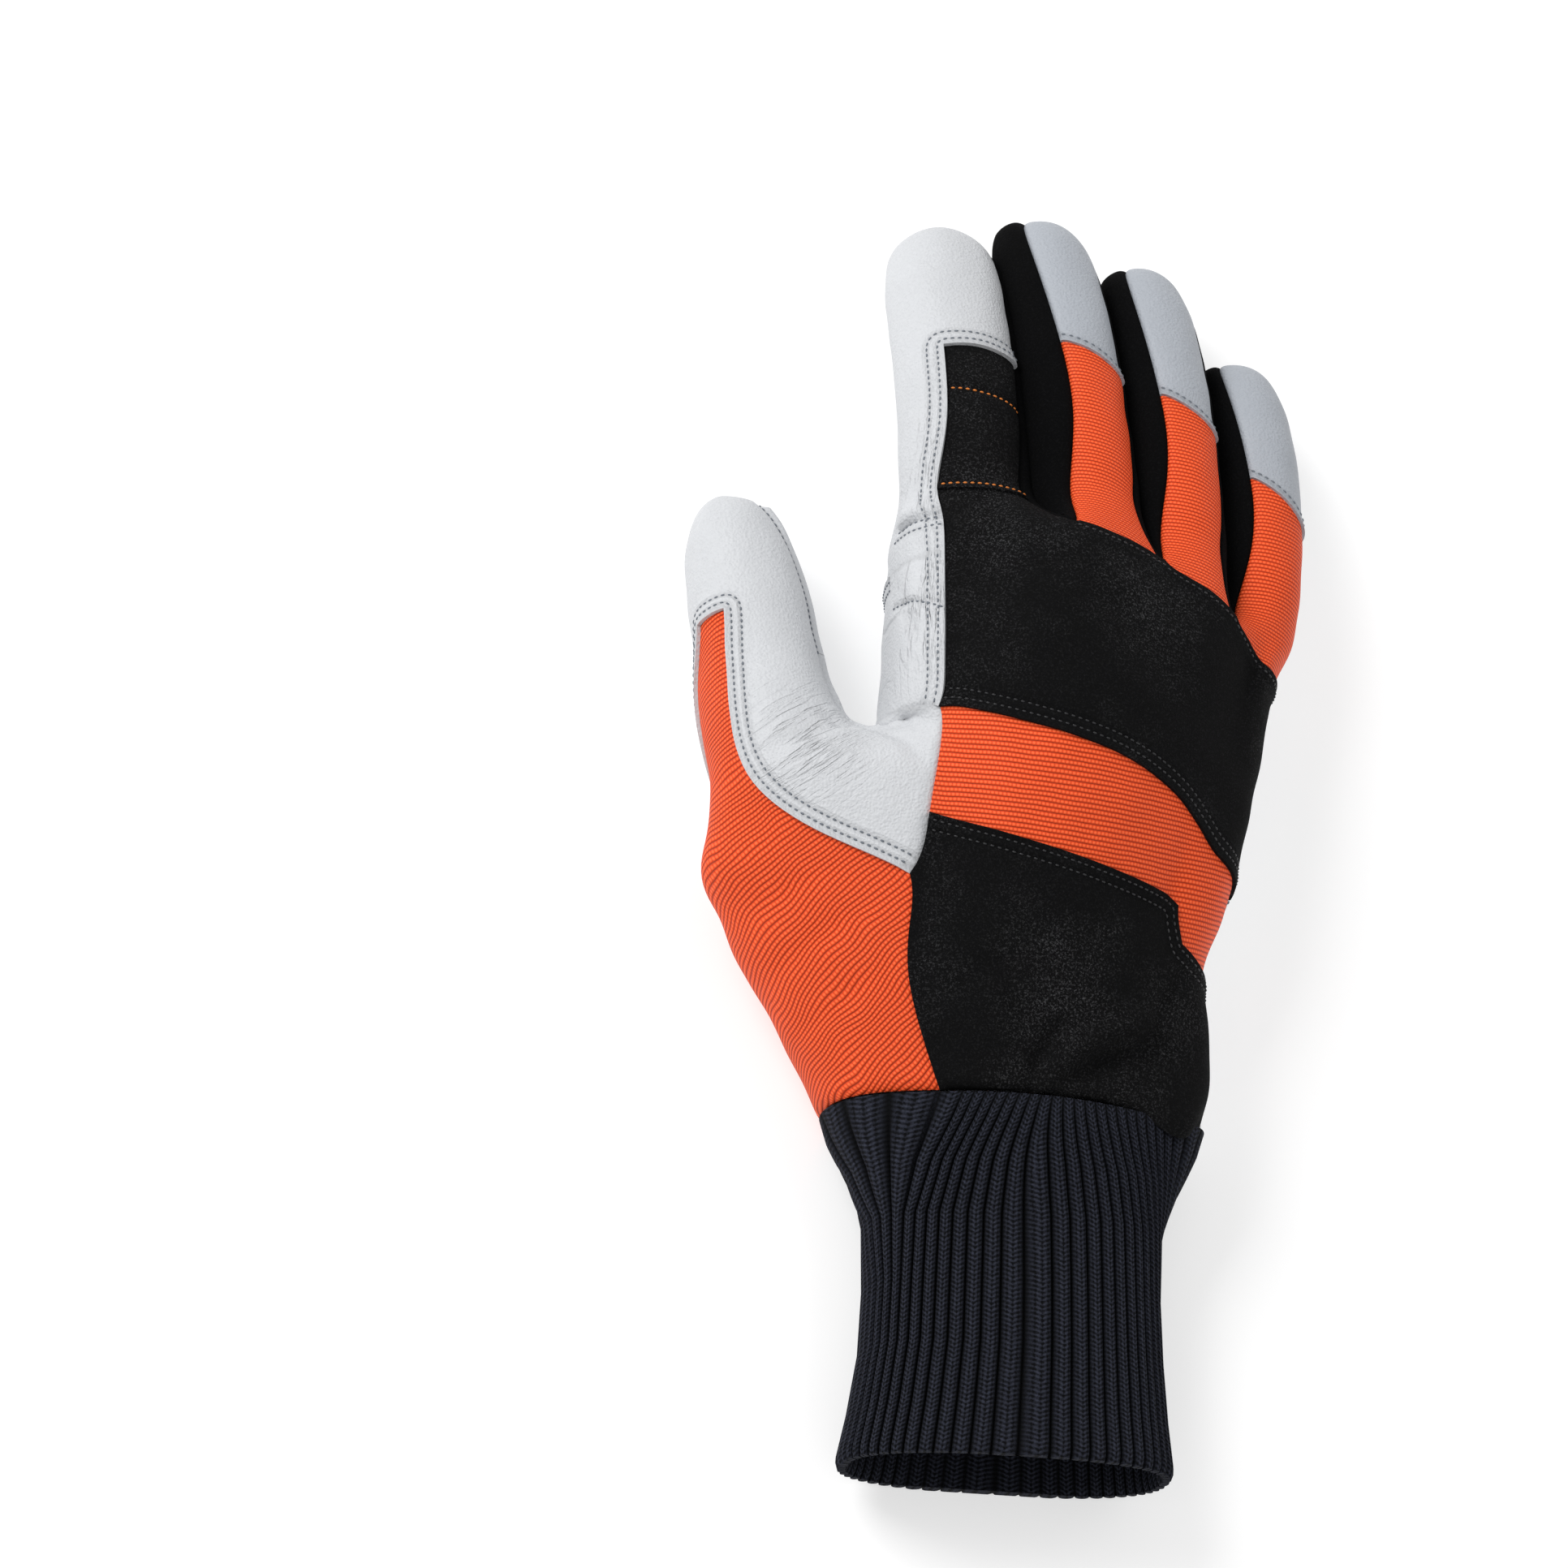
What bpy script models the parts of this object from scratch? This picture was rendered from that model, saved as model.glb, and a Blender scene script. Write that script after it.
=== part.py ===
"""Right-hand chainsaw glove, lying on its palm: sewn leather and fabric panels and a ribbed knit cuff.

The hand is one smooth surface, worked out from short tables of sections and cut along its seams.
Each panel between the seams is a thin shell of its own, and the knit cuff is a ribbed tube.
X runs from the thumb to the little finger, Y from the wrist to the fingertips and Z up out of the back.
"""

import math
from collections import namedtuple

import bmesh
import bpy
import numpy as np
from mathutils import Vector

# Driving sizes, in metres
HAND_LENGTH = 0.250
HAND_HEIGHT = 0.070
FINGER_PITCH = 0.025
FINGER_ARCH = 0.0070
THUMB_RADIUS = 0.0160
KNUCKLE_VALLEY = 0.0050
CUFF_LENGTH = 0.0920
CUFF_WIDTH = 0.0770
CUFF_HEIGHT = 0.0370
RIB_DEPTH = 0.0014

# Walls, in metres
LEATHER_WALL = 0.0016
FABRIC_WALL = 0.0018
SUEDE_WALL = 0.0024
GUSSET_WALL = 0.0014
KNIT_WALL = 0.0034
SEAM_GAP = 0.0004
OUTER_INSET = 0.6
INNER_INSET = 1.4
SMALLEST = 1e-12

# Counts
SIDE_SEGMENTS = 4
SHARP_ANGLE = 50.0
FINGER_RING = 4 * SIDE_SEGMENTS
PALM_ROWS = 13
BASE_SEAM_ROW = 1
BAND_TOP_ROW = 5
BAND_END_ROW = 8
BAND_SIDE_END_ROW = 9
THUMB_END_ROW = 9
ROWS_TO_CAP = 5
ROWS_IN_CAP = 4
APEX_ROW = 5
VALLEY_ROWS = 3
STRIP_COLUMNS = 2
CUFF_RIBS = 54

# Four fingers side by side span the palm, and lie a little apart
PALM_WIDTH = 4 * FINGER_PITCH
FINGER_RADIUS = 0.6 * FINGER_PITCH

# Cross-sections of the palm, from the finger roots to the wrist.
# at, x and z are shares of HAND_LENGTH, PALM_WIDTH and HAND_HEIGHT.
# The back runs from its radial edge (thumb side) over the crown to its ulnar edge (little finger).
PalmSection = namedtuple("PalmSection", (
    "row",
    "radial_at", "crown_at", "ulnar_at", "ulnar_side_at", "ulnar_drop",
    "radial_x", "radial_z", "crown_z", "ulnar_x", "ulnar_z",
    "radial_side_x", "radial_side_z", "ulnar_side_x", "ulnar_side_z",
    "palm_radial_x", "palm_radial_z", "palm_middle_z", "palm_ulnar_x", "palm_ulnar_z",
))
PALM = (
    PalmSection(0, 0.610, 0.590, 0.540, 0.485, -0.050, -0.245, 0.80, 0.94, 0.65, 0.62,
                -0.345, 0.55, 0.710, 0.34, -0.27, 0.27, 0.34, 0.62, 0.11),
    PalmSection(5, 0.385, 0.345, 0.330, 0.255, -0.062, -0.255, 0.88, 0.99, 0.480, 0.68,
                -0.39, 0.62, 0.595, 0.36, -0.33, 0.24, 0.20, 0.48, 0.02),
    PalmSection(8, 0.275, 0.237, 0.221, 0.170, 0.000, -0.260, 0.82, 0.88, 0.365, 0.69,
                -0.60, 0.45, 0.520, 0.36, -0.42, 0.03, 0.08, 0.40, -0.02),
    PalmSection(9, 0.205, 0.190, 0.175, 0.145, 0.000, -0.262, 0.77, 0.84, 0.385, 0.64,
                -0.790, 0.34, 0.510, 0.33, -0.50, -0.02, 0.02, 0.40, -0.02),
    PalmSection(11, 0.112, 0.100, 0.090, 0.080, 0.000, -0.300, 0.69, 0.74, 0.440, 0.56,
                -0.655, 0.30, 0.530, 0.30, -0.44, -0.02, -0.01, 0.41, -0.02),
    PalmSection(13, 0.000, 0.000, -0.006, 0.000, 0.000, -0.205, 0.60, 0.62, 0.415, 0.50,
                -0.505, 0.30, 0.525, 0.28, -0.36, -0.02, -0.01, 0.40, -0.02),
)

# Fingers, radial side first. x, y and z of root and tip are shares of PALM_WIDTH, HAND_LENGTH and HAND_HEIGHT.
# radius and depth are shares of FINGER_RADIUS, cap is where the leather tip starts along the finger,
# bow bends the finger sideways and slant draws its rings back on the little-finger side, as shares of
# FINGER_RADIUS, and roll turns its back, in degrees.
Finger = namedtuple("Finger", (
    "name", "root_x", "root_y", "root_z", "tip_x", "tip_y", "tip_z",
    "radius", "tip_radius", "depth", "cap", "bow", "roll", "slant",
))
FINGERS = (
    Finger("index", -0.150, 0.600, 0.56, -0.152, 1.004, 0.20, 1.14, 1.08, 0.96, 0.510, 0.02, 20.0, 0.00),
    Finger("middle", 0.185, 0.600, 0.59, 0.138, 1.032, 0.19, 0.94, 0.90, 0.90, 0.505, 0.02, 24.0, 0.45),
    Finger("ring", 0.435, 0.575, 0.52, 0.418, 0.990, 0.18, 0.89, 0.86, 0.86, 0.475, 0.03, 26.0, 0.50),
    Finger("little", 0.645, 0.520, 0.37, 0.680, 0.888, 0.17, 0.86, 0.84, 0.80, 0.490, 0.20, 26.0, 0.55),
)
# Where the webs between the fingers start on the back and on the palm side, as shares of the first section
BACK_WEBS = (0.0, 0.385, 0.665, 0.895, 1.0)
PALM_WEBS = (0.0, 0.326, 0.624, 0.865, 1.0)
BACK_SPAN = 86.0
TIP_START = 0.84
TIP_ROUNDNESS = 2.6
LAST_RING_IN_TIP = 0.78
END_RING_IN_TIP = 0.94
TIP_SPREAD = 24.0
SPREAD_START = 0.35
CAP_BULGE = 0.50
EDGE_TURN = 6
ROLL_FULL = 0.35
SLANT_FULL = 0.40

# Rings along the thumb. across, along and up are shares of PALM_WIDTH, HAND_LENGTH and HAND_HEIGHT, radius and
# depth of THUMB_RADIUS. The four angles, in degrees, are the seam lines round the ring: the gusset's
# back edge, the inner seam, the inner edge of the palm side and the gusset's palm edge.
ThumbRing = namedtuple("ThumbRing", (
    "across", "along", "up", "radius", "depth", "heading", "gusset_back", "inner", "palm_inner", "gusset_palm",
))
THUMB = (
    ThumbRing(-0.600, 0.345, 0.42, 1.32, 1.34, 28.0, 146.0, 20.0, -60.0, -136.0),
    ThumbRing(-0.645, 0.410, 0.37, 1.13, 1.22, 16.0, 138.0, 16.0, -64.0, -160.0),
    ThumbRing(-0.665, 0.465, 0.33, 1.06, 1.12, 11.0, 134.0, 14.0, -66.0, -178.0),
    ThumbRing(-0.677, 0.518, 0.30, 1.03, 1.04, 8.0, 130.0, 14.0, -68.0, -212.0),
    ThumbRing(-0.690, 0.560, 0.27, 0.99, 0.99, 6.0, 130.0, 14.0, -70.0, -202.0),
    ThumbRing(-0.704, 0.600, 0.25, 0.92, 0.94, 4.0, 133.0, 16.0, -72.0, -214.0),
    ThumbRing(-0.713, 0.634, 0.23, 0.80, 0.84, 0.0, 135.0, 28.0, -60.0, -210.0),
    ThumbRing(-0.717, 0.660, 0.21, 0.60, 0.62, 0.0, 135.0, 40.0, -48.0, -222.0),
)
THUMB_BASE_BULGE = (-0.070, -0.016, 0.0)
THUMB_TIP = (-0.720, 0.678, 0.19)
THUMB_DROOP = 0.12

# The knit cuff from the hand's seam to its hem. along is a share of CUFF_LENGTH, width and height of
# CUFF_WIDTH and CUFF_HEIGHT, shift of PALM_WIDTH, and blend goes from the hand's edge to the cuff's own round.
CuffRing = namedtuple("CuffRing", ("along", "width", "height", "shift", "blend", "ribs"))
CUFF = (
    CuffRing(0.00, 1.00, 1.00, 0.010, 0.00, 0.0),
    CuffRing(0.07, 1.00, 1.04, 0.010, 0.22, 0.6),
    CuffRing(0.18, 0.99, 1.04, 0.010, 0.62, 1.0),
    CuffRing(0.32, 0.975, 1.00, 0.008, 0.93, 1.0),
    CuffRing(0.50, 0.97, 0.98, 0.006, 1.00, 1.0),
    CuffRing(0.68, 0.99, 0.98, 0.002, 1.00, 1.0),
    CuffRing(0.85, 1.04, 1.00, -0.008, 1.00, 1.0),
    CuffRing(1.00, 1.10, 1.04, -0.018, 1.00, 1.0),
)
CUFF_SQUARENESS = 2.5
CUFF_TOP_GAP = 0.0004

# Finishes: colour, roughness
FINISHES = {
    "leather": ((0.80, 0.81, 0.82), 0.55),
    "orange_fabric": ((0.90, 0.12, 0.025), 0.75),
    "black_suede": ((0.012, 0.012, 0.013), 0.90),
    "black_fabric": ((0.006, 0.006, 0.007), 0.85),
    "navy_knit": ((0.012, 0.014, 0.024), 0.88),
}
Panel = namedtuple("Panel", ("wall", "finish"))
PANELS = {
    "finger_leather": Panel(LEATHER_WALL, "leather"),
    "middle_tip_cap": Panel(LEATHER_WALL, "leather"),
    "ring_tip_cap": Panel(LEATHER_WALL, "leather"),
    "little_tip_cap": Panel(LEATHER_WALL, "leather"),
    "palm_leather": Panel(LEATHER_WALL, "leather"),
    "thumb_leather": Panel(LEATHER_WALL, "leather"),
    "index_back_panel": Panel(SUEDE_WALL, "black_suede"),
    "knuckle_panel": Panel(SUEDE_WALL, "black_suede"),
    "wrist_panel": Panel(SUEDE_WALL, "black_suede"),
    "middle_back": Panel(FABRIC_WALL, "orange_fabric"),
    "ring_back": Panel(FABRIC_WALL, "orange_fabric"),
    "little_back": Panel(FABRIC_WALL, "orange_fabric"),
    "back_band": Panel(FABRIC_WALL, "orange_fabric"),
    "thumb_gusset": Panel(FABRIC_WALL, "orange_fabric"),
    "index_middle_fourchette": Panel(GUSSET_WALL, "black_fabric"),
    "middle_ring_fourchette": Panel(GUSSET_WALL, "black_fabric"),
    "ring_little_fourchette": Panel(GUSSET_WALL, "black_fabric"),
}
PANEL_NAMES = tuple(PANELS)

BACK_COLUMNS = SIDE_SEGMENTS * len(FINGERS)
ULNAR_COLUMN = BACK_COLUMNS + SIDE_SEGMENTS
RADIAL_COLUMN = ULNAR_COLUMN + BACK_COLUMNS
PALM_RING = RADIAL_COLUMN + SIDE_SEGMENTS


def place(across, along, up):
    """A point from shares of the palm's width, the hand's length and its height."""
    return np.array((across * PALM_WIDTH, along * HAND_LENGTH, up * HAND_HEIGHT))


def smooth_step(value):
    """Eases from 0 to 1 without a corner at either end."""
    value = min(max(value, 0.0), 1.0)
    return value * value * (3.0 - 2.0 * value)


def section_at(row):
    """The palm's section at a row, with each column of the table blended along a smooth curve."""
    rows = [section.row for section in PALM]
    place_in_table = max(i for i, at in enumerate(rows[:-1]) if row >= at)
    low, high = PALM[place_in_table], PALM[place_in_table + 1]
    before = PALM[max(place_in_table - 1, 0)]
    after = PALM[min(place_in_table + 2, len(PALM) - 1)]
    span = high.row - low.row
    share = (row - low.row) / span
    blended = []
    for a, b, c, d in zip(before, low, high, after):
        start = (c - a) * span / max(high.row - before.row, 1)
        end = (d - b) * span / max(after.row - low.row, 1)
        blended.append(b + share * (start + share * (
            3.0 * (c - b) - 2.0 * start - end + share * (start + end - 2.0 * (c - b)))))
    return PalmSection(*blended)


def through_three(first, middle, last, share):
    """A parabola through three points, with the middle one half way."""
    return (first * (1 - share) * (1 - 2 * share) + middle * 4 * share * (1 - share)
            + last * share * (2 * share - 1))


def round_side(start, side, end, share):
    """A rounded edge from start through side to end, as two quarter ellipses."""
    if share < 0.5:
        angle = math.pi * share
        return side + (start - side) * np.array((1 - math.sin(angle), 1 - math.sin(angle), math.cos(angle)))
    angle = math.pi * (1 - share)
    return side + (end - side) * np.array((1 - math.sin(angle), 1 - math.sin(angle), math.cos(angle)))


def column_shares(row, webs):
    """Shares across the palm at its columns: in step with the fingers at the webs, then even."""
    evening = smooth_step(row / BAND_TOP_ROW)
    shares = []
    for column in range(BACK_COLUMNS + 1):
        finger = min(column // SIDE_SEGMENTS, len(FINGERS) - 1)
        part = column / SIDE_SEGMENTS - finger
        at_webs = webs[finger] + (webs[finger + 1] - webs[finger]) * part
        shares.append(at_webs + (column / BACK_COLUMNS - at_webs) * evening)
    return shares


def palm_ring(row):
    """The points round the palm at a row: back, little-finger side, palm side and thumb side."""
    cut = section_at(row)
    radial = place(cut.radial_x, cut.radial_at, cut.radial_z)
    ulnar = place(cut.ulnar_x, cut.ulnar_at, cut.ulnar_z)
    ulnar_edge = place(cut.ulnar_x, cut.ulnar_at + cut.ulnar_drop, cut.ulnar_z)
    crown = place((cut.radial_x + cut.ulnar_x) / 2, cut.crown_at, cut.crown_z)
    palm_radial = place(cut.palm_radial_x, cut.radial_at, cut.palm_radial_z)
    palm_ulnar = place(cut.palm_ulnar_x, cut.ulnar_side_at, cut.palm_ulnar_z)
    palm_middle = place((cut.palm_radial_x + cut.palm_ulnar_x) / 2, cut.crown_at, cut.palm_middle_z)
    ulnar_side = place(cut.ulnar_side_x, cut.ulnar_side_at, cut.ulnar_side_z)
    radial_side = place(cut.radial_side_x, cut.radial_at, cut.radial_side_z)
    drop = place(0.0, cut.ulnar_drop, 0.0)
    ring = [through_three(radial, crown, ulnar, share) + drop * share ** EDGE_TURN
            for share in column_shares(row, BACK_WEBS)]
    ring += [round_side(ulnar_edge, ulnar_side, palm_ulnar, i / SIDE_SEGMENTS) for i in range(1, SIDE_SEGMENTS)]
    ring += [through_three(palm_radial, palm_middle, palm_ulnar, share)
             for share in reversed(column_shares(row, PALM_WEBS))]
    ring += [round_side(palm_radial, radial_side, radial, i / SIDE_SEGMENTS)
             for i in range(1, SIDE_SEGMENTS)]
    return ring


def dip_between_fingers(ring, amount):
    """Lowers the back and lifts the palm side of a ring a little between neighbouring fingers."""
    for column in range(1, BACK_COLUMNS):
        phase = column * math.pi / SIDE_SEGMENTS
        dip = amount * KNUCKLE_VALLEY * (0.5 + 0.5 * math.cos(phase))
        ring[column] = ring[column] - np.array((0, 0, dip))
        ring[ULNAR_COLUMN + column] = ring[ULNAR_COLUMN + column] + np.array((0, 0, dip))


def seam_angles(corners, segments=SIDE_SEGMENTS):
    """Angles round a ring, with the given seam angles as corners and equal steps between them."""
    angles = []
    for this, following in zip(corners, corners[1:] + (corners[0] - 360.0,)):
        angles += [this + (following - this) * i / segments for i in range(segments)]
    return [math.radians(angle) for angle in angles]


def ring_points(centre, forward, radius, depth, angles):
    """A round section square to the forward direction, one point for each angle."""
    side = np.cross(forward, (0, 0, 1))
    side /= np.linalg.norm(side)
    up = np.cross(side, forward)
    return [centre + side * radius * math.cos(a) + up * depth * math.sin(a) for a in angles]


class Cage:
    """The hand's coarse surface: points, four-sided faces and the panel that each face belongs to."""

    def __init__(self):
        self.points = []
        self.faces = []
        self.panels = []

    def add_points(self, points):
        first = len(self.points)
        self.points += [np.asarray(point, float) for point in points]
        return list(range(first, len(self.points)))

    def add_face(self, corners, panel):
        self.faces.append(tuple(corners))
        self.panels.append(PANEL_NAMES.index(panel))

    def add_sleeve(self, outer, inner, panel_of):
        """Joins two rings of points, the outer one further from the wrist."""
        count = len(outer)
        for k in range(count):
            after = (k + 1) % count
            self.add_face((outer[k], inner[k], inner[after], outer[after]), panel_of(k))

    def add_cap(self, ring, tip, panel_of):
        """Closes a ring of four equal sides with a domed grid."""
        n = SIDE_SEGMENTS
        grid = [[None] * (n + 1) for _ in range(n + 1)]
        for k in range(n):
            grid[0][k] = ring[k]
            grid[k][n] = ring[n + k]
            grid[n][n - k] = ring[2 * n + k]
            grid[n - k][0] = ring[3 * n + k]
        rim = np.mean([self.points[k] for k in ring], axis=0)
        for j in range(1, n):
            for i in range(1, n):
                u, v = i / n, j / n
                flat = ((1 - v) * self.points[grid[0][i]] + v * self.points[grid[n][i]]) / 2
                flat = flat + ((1 - u) * self.points[grid[j][0]] + u * self.points[grid[j][n]]) / 2
                off_centre = max(abs(2 * u - 1), abs(2 * v - 1))
                lift = 1 - CAP_BULGE * off_centre ** 2
                grid[j][i] = self.add_points([flat + (tip - rim) * lift])[0]
        for j in range(n):
            for i in range(n):
                corners = (grid[j][i], grid[j + 1][i], grid[j + 1][i + 1], grid[j][i + 1])
                self.add_face(corners[::-1], panel_of(j, i))


def palm_panel(row, column):
    """The panel of a face of the palm, or None where the thumb leaves it."""
    on_back = column < BACK_COLUMNS
    on_ulnar_top = BACK_COLUMNS <= column < BACK_COLUMNS + SIDE_SEGMENTS // 2
    on_thumb_side = column >= RADIAL_COLUMN
    if on_back or on_ulnar_top:
        if row < BAND_TOP_ROW:
            return "knuckle_panel"
        if row < BAND_END_ROW or (on_ulnar_top and row < BAND_SIDE_END_ROW):
            return "back_band"
        return "wrist_panel"
    if row < BASE_SEAM_ROW:
        return "finger_leather"
    if on_thumb_side and row >= BAND_TOP_ROW:
        return "thumb_gusset" if row >= THUMB_END_ROW else None
    if row >= BAND_TOP_ROW and RADIAL_COLUMN - STRIP_COLUMNS <= column < RADIAL_COLUMN:
        return "thumb_leather"
    return "palm_leather"


FOURCHETTES = tuple(f"{a.name}_{b.name}_fourchette" for a, b in zip(FINGERS, FINGERS[1:]))


def finger_panel(number, row, segment):
    """The panel of a face along a finger: back, little-finger side, palm side, thumb side."""
    name = FINGERS[number].name
    side = segment // SIDE_SEGMENTS
    first, last = number == 0, number == len(FINGERS) - 1
    upper_side = segment % SIDE_SEGMENTS < SIDE_SEGMENTS // 2
    if side == 1 and not last:
        return FOURCHETTES[number]
    if side == 3 and not first:
        return FOURCHETTES[number - 1]
    if side == 0 or (side == 1 and upper_side):
        if first:
            if row == 0:
                return "knuckle_panel"
            return "index_back_panel" if row < ROWS_TO_CAP else "finger_leather"
        return f"{name}_back" if row < ROWS_TO_CAP else f"{name}_tip_cap"
    return "finger_leather"


def finger_cap_panel(number, j):
    """The panel of a face of a fingertip's end, j from the back to the palm side."""
    if number == 0 or j >= SIDE_SEGMENTS // 2:
        return "finger_leather"
    return f"{FINGERS[number].name}_tip_cap"


def thumb_panel(row, segment):
    """The panel of a face along the thumb: the gusset's wedge on its outer side, or leather."""
    on_outer_side = segment >= 3 * SIDE_SEGMENTS
    return "thumb_gusset" if on_outer_side and row < APEX_ROW else "thumb_leather"


def finger_stations(finger):
    """Shares of the finger's length at its rings, with one at the edge of the leather tip."""
    below = [finger.cap * (i + 1) / ROWS_TO_CAP for i in range(ROWS_TO_CAP)]
    last = TIP_START + (1 - TIP_START) * LAST_RING_IN_TIP
    above = [finger.cap + (last - finger.cap) * math.sin(math.pi / 2 * (i + 1) / ROWS_IN_CAP)
             for i in range(ROWS_IN_CAP)]
    return below + above + [TIP_START + (1 - TIP_START) * END_RING_IN_TIP]


def finger_rings(finger):
    """The finger's rings of points from its root to the last one before the tip, and its tip."""
    root = place(finger.root_x, finger.root_y, finger.root_z)
    tip = place(finger.tip_x, finger.tip_y, finger.tip_z)
    bend = (root + tip) / 2 + np.array((finger.bow * FINGER_RADIUS * 2, 0, FINGER_ARCH * 2))
    rings = []
    for share in finger_stations(finger):
        centre = root * (1 - share) ** 2 + bend * 2 * share * (1 - share) + tip * share ** 2
        forward = (bend - root) * (1 - share) + (tip - bend) * share
        forward /= np.linalg.norm(forward)
        wide = finger.radius + (finger.tip_radius - finger.radius) * share
        into_tip = max(share - TIP_START, 0.0) / (1 - TIP_START)
        narrowing = math.sqrt(1 - into_tip ** TIP_ROUNDNESS)
        radius = FINGER_RADIUS * wide * narrowing
        depth = radius * finger.depth / finger.radius
        roll = finger.roll * smooth_step(share / ROLL_FULL)
        top = 90.0 - roll
        spread = TIP_SPREAD * (finger.slant > 0) * smooth_step((share - SPREAD_START) / (1 - SPREAD_START))
        corners = (top + BACK_SPAN / 2 + spread, top - BACK_SPAN / 2,
                   top - 180 + BACK_SPAN / 2, top - 180 - BACK_SPAN / 2)
        angles = seam_angles(corners)
        slant = FINGER_RADIUS * finger.slant * smooth_step(share / SLANT_FULL) * (1 - into_tip)
        rings.append([point - forward * slant * math.cos(angle) for point, angle
                      in zip(ring_points(centre, forward, radius, depth, angles), angles)])
    return rings, tip


def thumb_rings():
    """The thumb's rings of points from its base to the last one before the tip."""
    rings = []
    for row in THUMB:
        centre = place(row.across, row.along, row.up)
        heading = math.radians(90.0 + row.heading)
        forward = np.array((math.cos(heading), math.sin(heading), -THUMB_DROOP))
        forward /= np.linalg.norm(forward)
        corners = (row.gusset_back, row.inner, row.palm_inner, row.gusset_palm)
        radius, depth = THUMB_RADIUS * row.radius, THUMB_RADIUS * row.depth
        rings.append(ring_points(centre, forward, radius, depth, seam_angles(corners)))
    return rings


def thumb_base(cage, opening, first_ring):
    """A ring half way from the opening to the thumb's first ring, swollen at the ball of the thumb."""
    swelling = place(*THUMB_BASE_BULGE)
    middle_of_outer_side = 3.5 * SIDE_SEGMENTS
    ring = []
    for k, (corner, point) in enumerate(zip(opening, first_ring)):
        turn = (k - middle_of_outer_side) * 2 * math.pi / FINGER_RING
        ring.append((cage.points[corner] + point) / 2 + swelling * max(math.cos(turn), 0.0))
    return ring


def web_chain(cage, back, palm):
    """Points down the web between two fingers, from the back to the palm side."""
    top, bottom = cage.points[back], cage.points[palm]
    return cage.add_points([top + (bottom - top) * i / SIDE_SEGMENTS for i in range(1, SIDE_SEGMENTS)])


def build_cage():
    """The whole hand's coarse surface, open at the wrist. Returns it with the wrist's ring."""
    cage = Cage()
    grid = []
    for row in range(PALM_ROWS + 1):
        ring = palm_ring(row)
        dip_between_fingers(ring, max(0.0, 1 - row / VALLEY_ROWS))
        grid.append(cage.add_points(ring))
    for row in range(PALM_ROWS):
        for column in range(PALM_RING):
            after = (column + 1) % PALM_RING
            panel = palm_panel(row, column)
            if panel:
                corners = (grid[row][column], grid[row + 1][column], grid[row + 1][after], grid[row][after])
                cage.add_face(corners, panel)

    add_fingers(cage, grid)
    add_thumb(cage, grid)
    return cage, grid[PALM_ROWS]


def add_fingers(cage, grid):
    """Four fingers on the palm's first ring, with webs between them."""
    root = grid[0]
    n = SIDE_SEGMENTS
    radial_chain = root[RADIAL_COLUMN + 1:]
    for number, finger in enumerate(FINGERS):
        back = root[number * n:(number + 1) * n + 1]
        palm_start = RADIAL_COLUMN - (number + 1) * n
        palm = root[palm_start:palm_start + n + 1]
        if number < len(FINGERS) - 1:
            ulnar_chain = web_chain(cage, back[-1], palm[0])
        else:
            ulnar_chain = root[BACK_COLUMNS + 1:ULNAR_COLUMN]
        inner = back + ulnar_chain + palm + radial_chain
        rings, tip = finger_rings(finger)
        for row, ring in enumerate(rings):
            outer = cage.add_points(ring)
            cage.add_sleeve(outer, inner, lambda k: finger_panel(number, row, k))
            inner = outer
        cage.add_cap(inner, tip, lambda j, i: finger_cap_panel(number, j))
        radial_chain = ulnar_chain[::-1]


def add_thumb(cage, grid):
    """The thumb on the opening in the palm's thumb side."""
    rows = range(BAND_TOP_ROW, THUMB_END_ROW + 1)
    back = [grid[row][0] for row in reversed(rows)]
    inner_side = grid[BAND_TOP_ROW][RADIAL_COLUMN + 1:][::-1]
    palm = [grid[row][RADIAL_COLUMN] for row in rows]
    outer_side = grid[THUMB_END_ROW][RADIAL_COLUMN + 1:]
    inner = back + inner_side + palm + outer_side
    rings = thumb_rings()
    rings.insert(0, thumb_base(cage, inner, rings[0]))
    for row, ring in enumerate(rings):
        outer = cage.add_points(ring)
        cage.add_sleeve(outer, inner, lambda k: thumb_panel(row, k))
        inner = outer
    cage.add_cap(inner, place(*THUMB_TIP), lambda j, i: "thumb_leather")


def smooth_surface(cage, levels):
    """The cage after Catmull-Clark subdivision: points, normals, faces and each face's panel.

    With no levels the cage keeps its faces and its points move onto the smooth surface.
    """
    mesh = bpy.data.meshes.new("hand_form")
    mesh.from_pydata([tuple(point) for point in cage.points], [], cage.faces)
    for number in range(len(PANEL_NAMES)):
        mesh.materials.append(None)
    mesh.polygons.foreach_set("material_index", cage.panels)
    form = bpy.data.objects.new("hand_form", mesh)
    bpy.context.scene.collection.objects.link(form)
    subdivision = form.modifiers.new("smooth", "SUBSURF")
    subdivision.levels = subdivision.render_levels = max(levels, 1)
    subdivision.boundary_smooth = "PRESERVE_CORNERS"
    fine = bpy.data.meshes.new_from_object(form.evaluated_get(bpy.context.evaluated_depsgraph_get()))
    points = np.array([vertex.co for vertex in fine.vertices])
    if levels == 0:
        points = points[:len(cage.points)]
        faces, panels = list(cage.faces), list(cage.panels)
    else:
        faces = [tuple(face.vertices) for face in fine.polygons]
        panels = [face.material_index for face in fine.polygons]
    bpy.data.objects.remove(form)
    bpy.data.meshes.remove(fine)
    bpy.data.meshes.remove(mesh)
    return points, vertex_normals(points, faces), faces, panels


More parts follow.
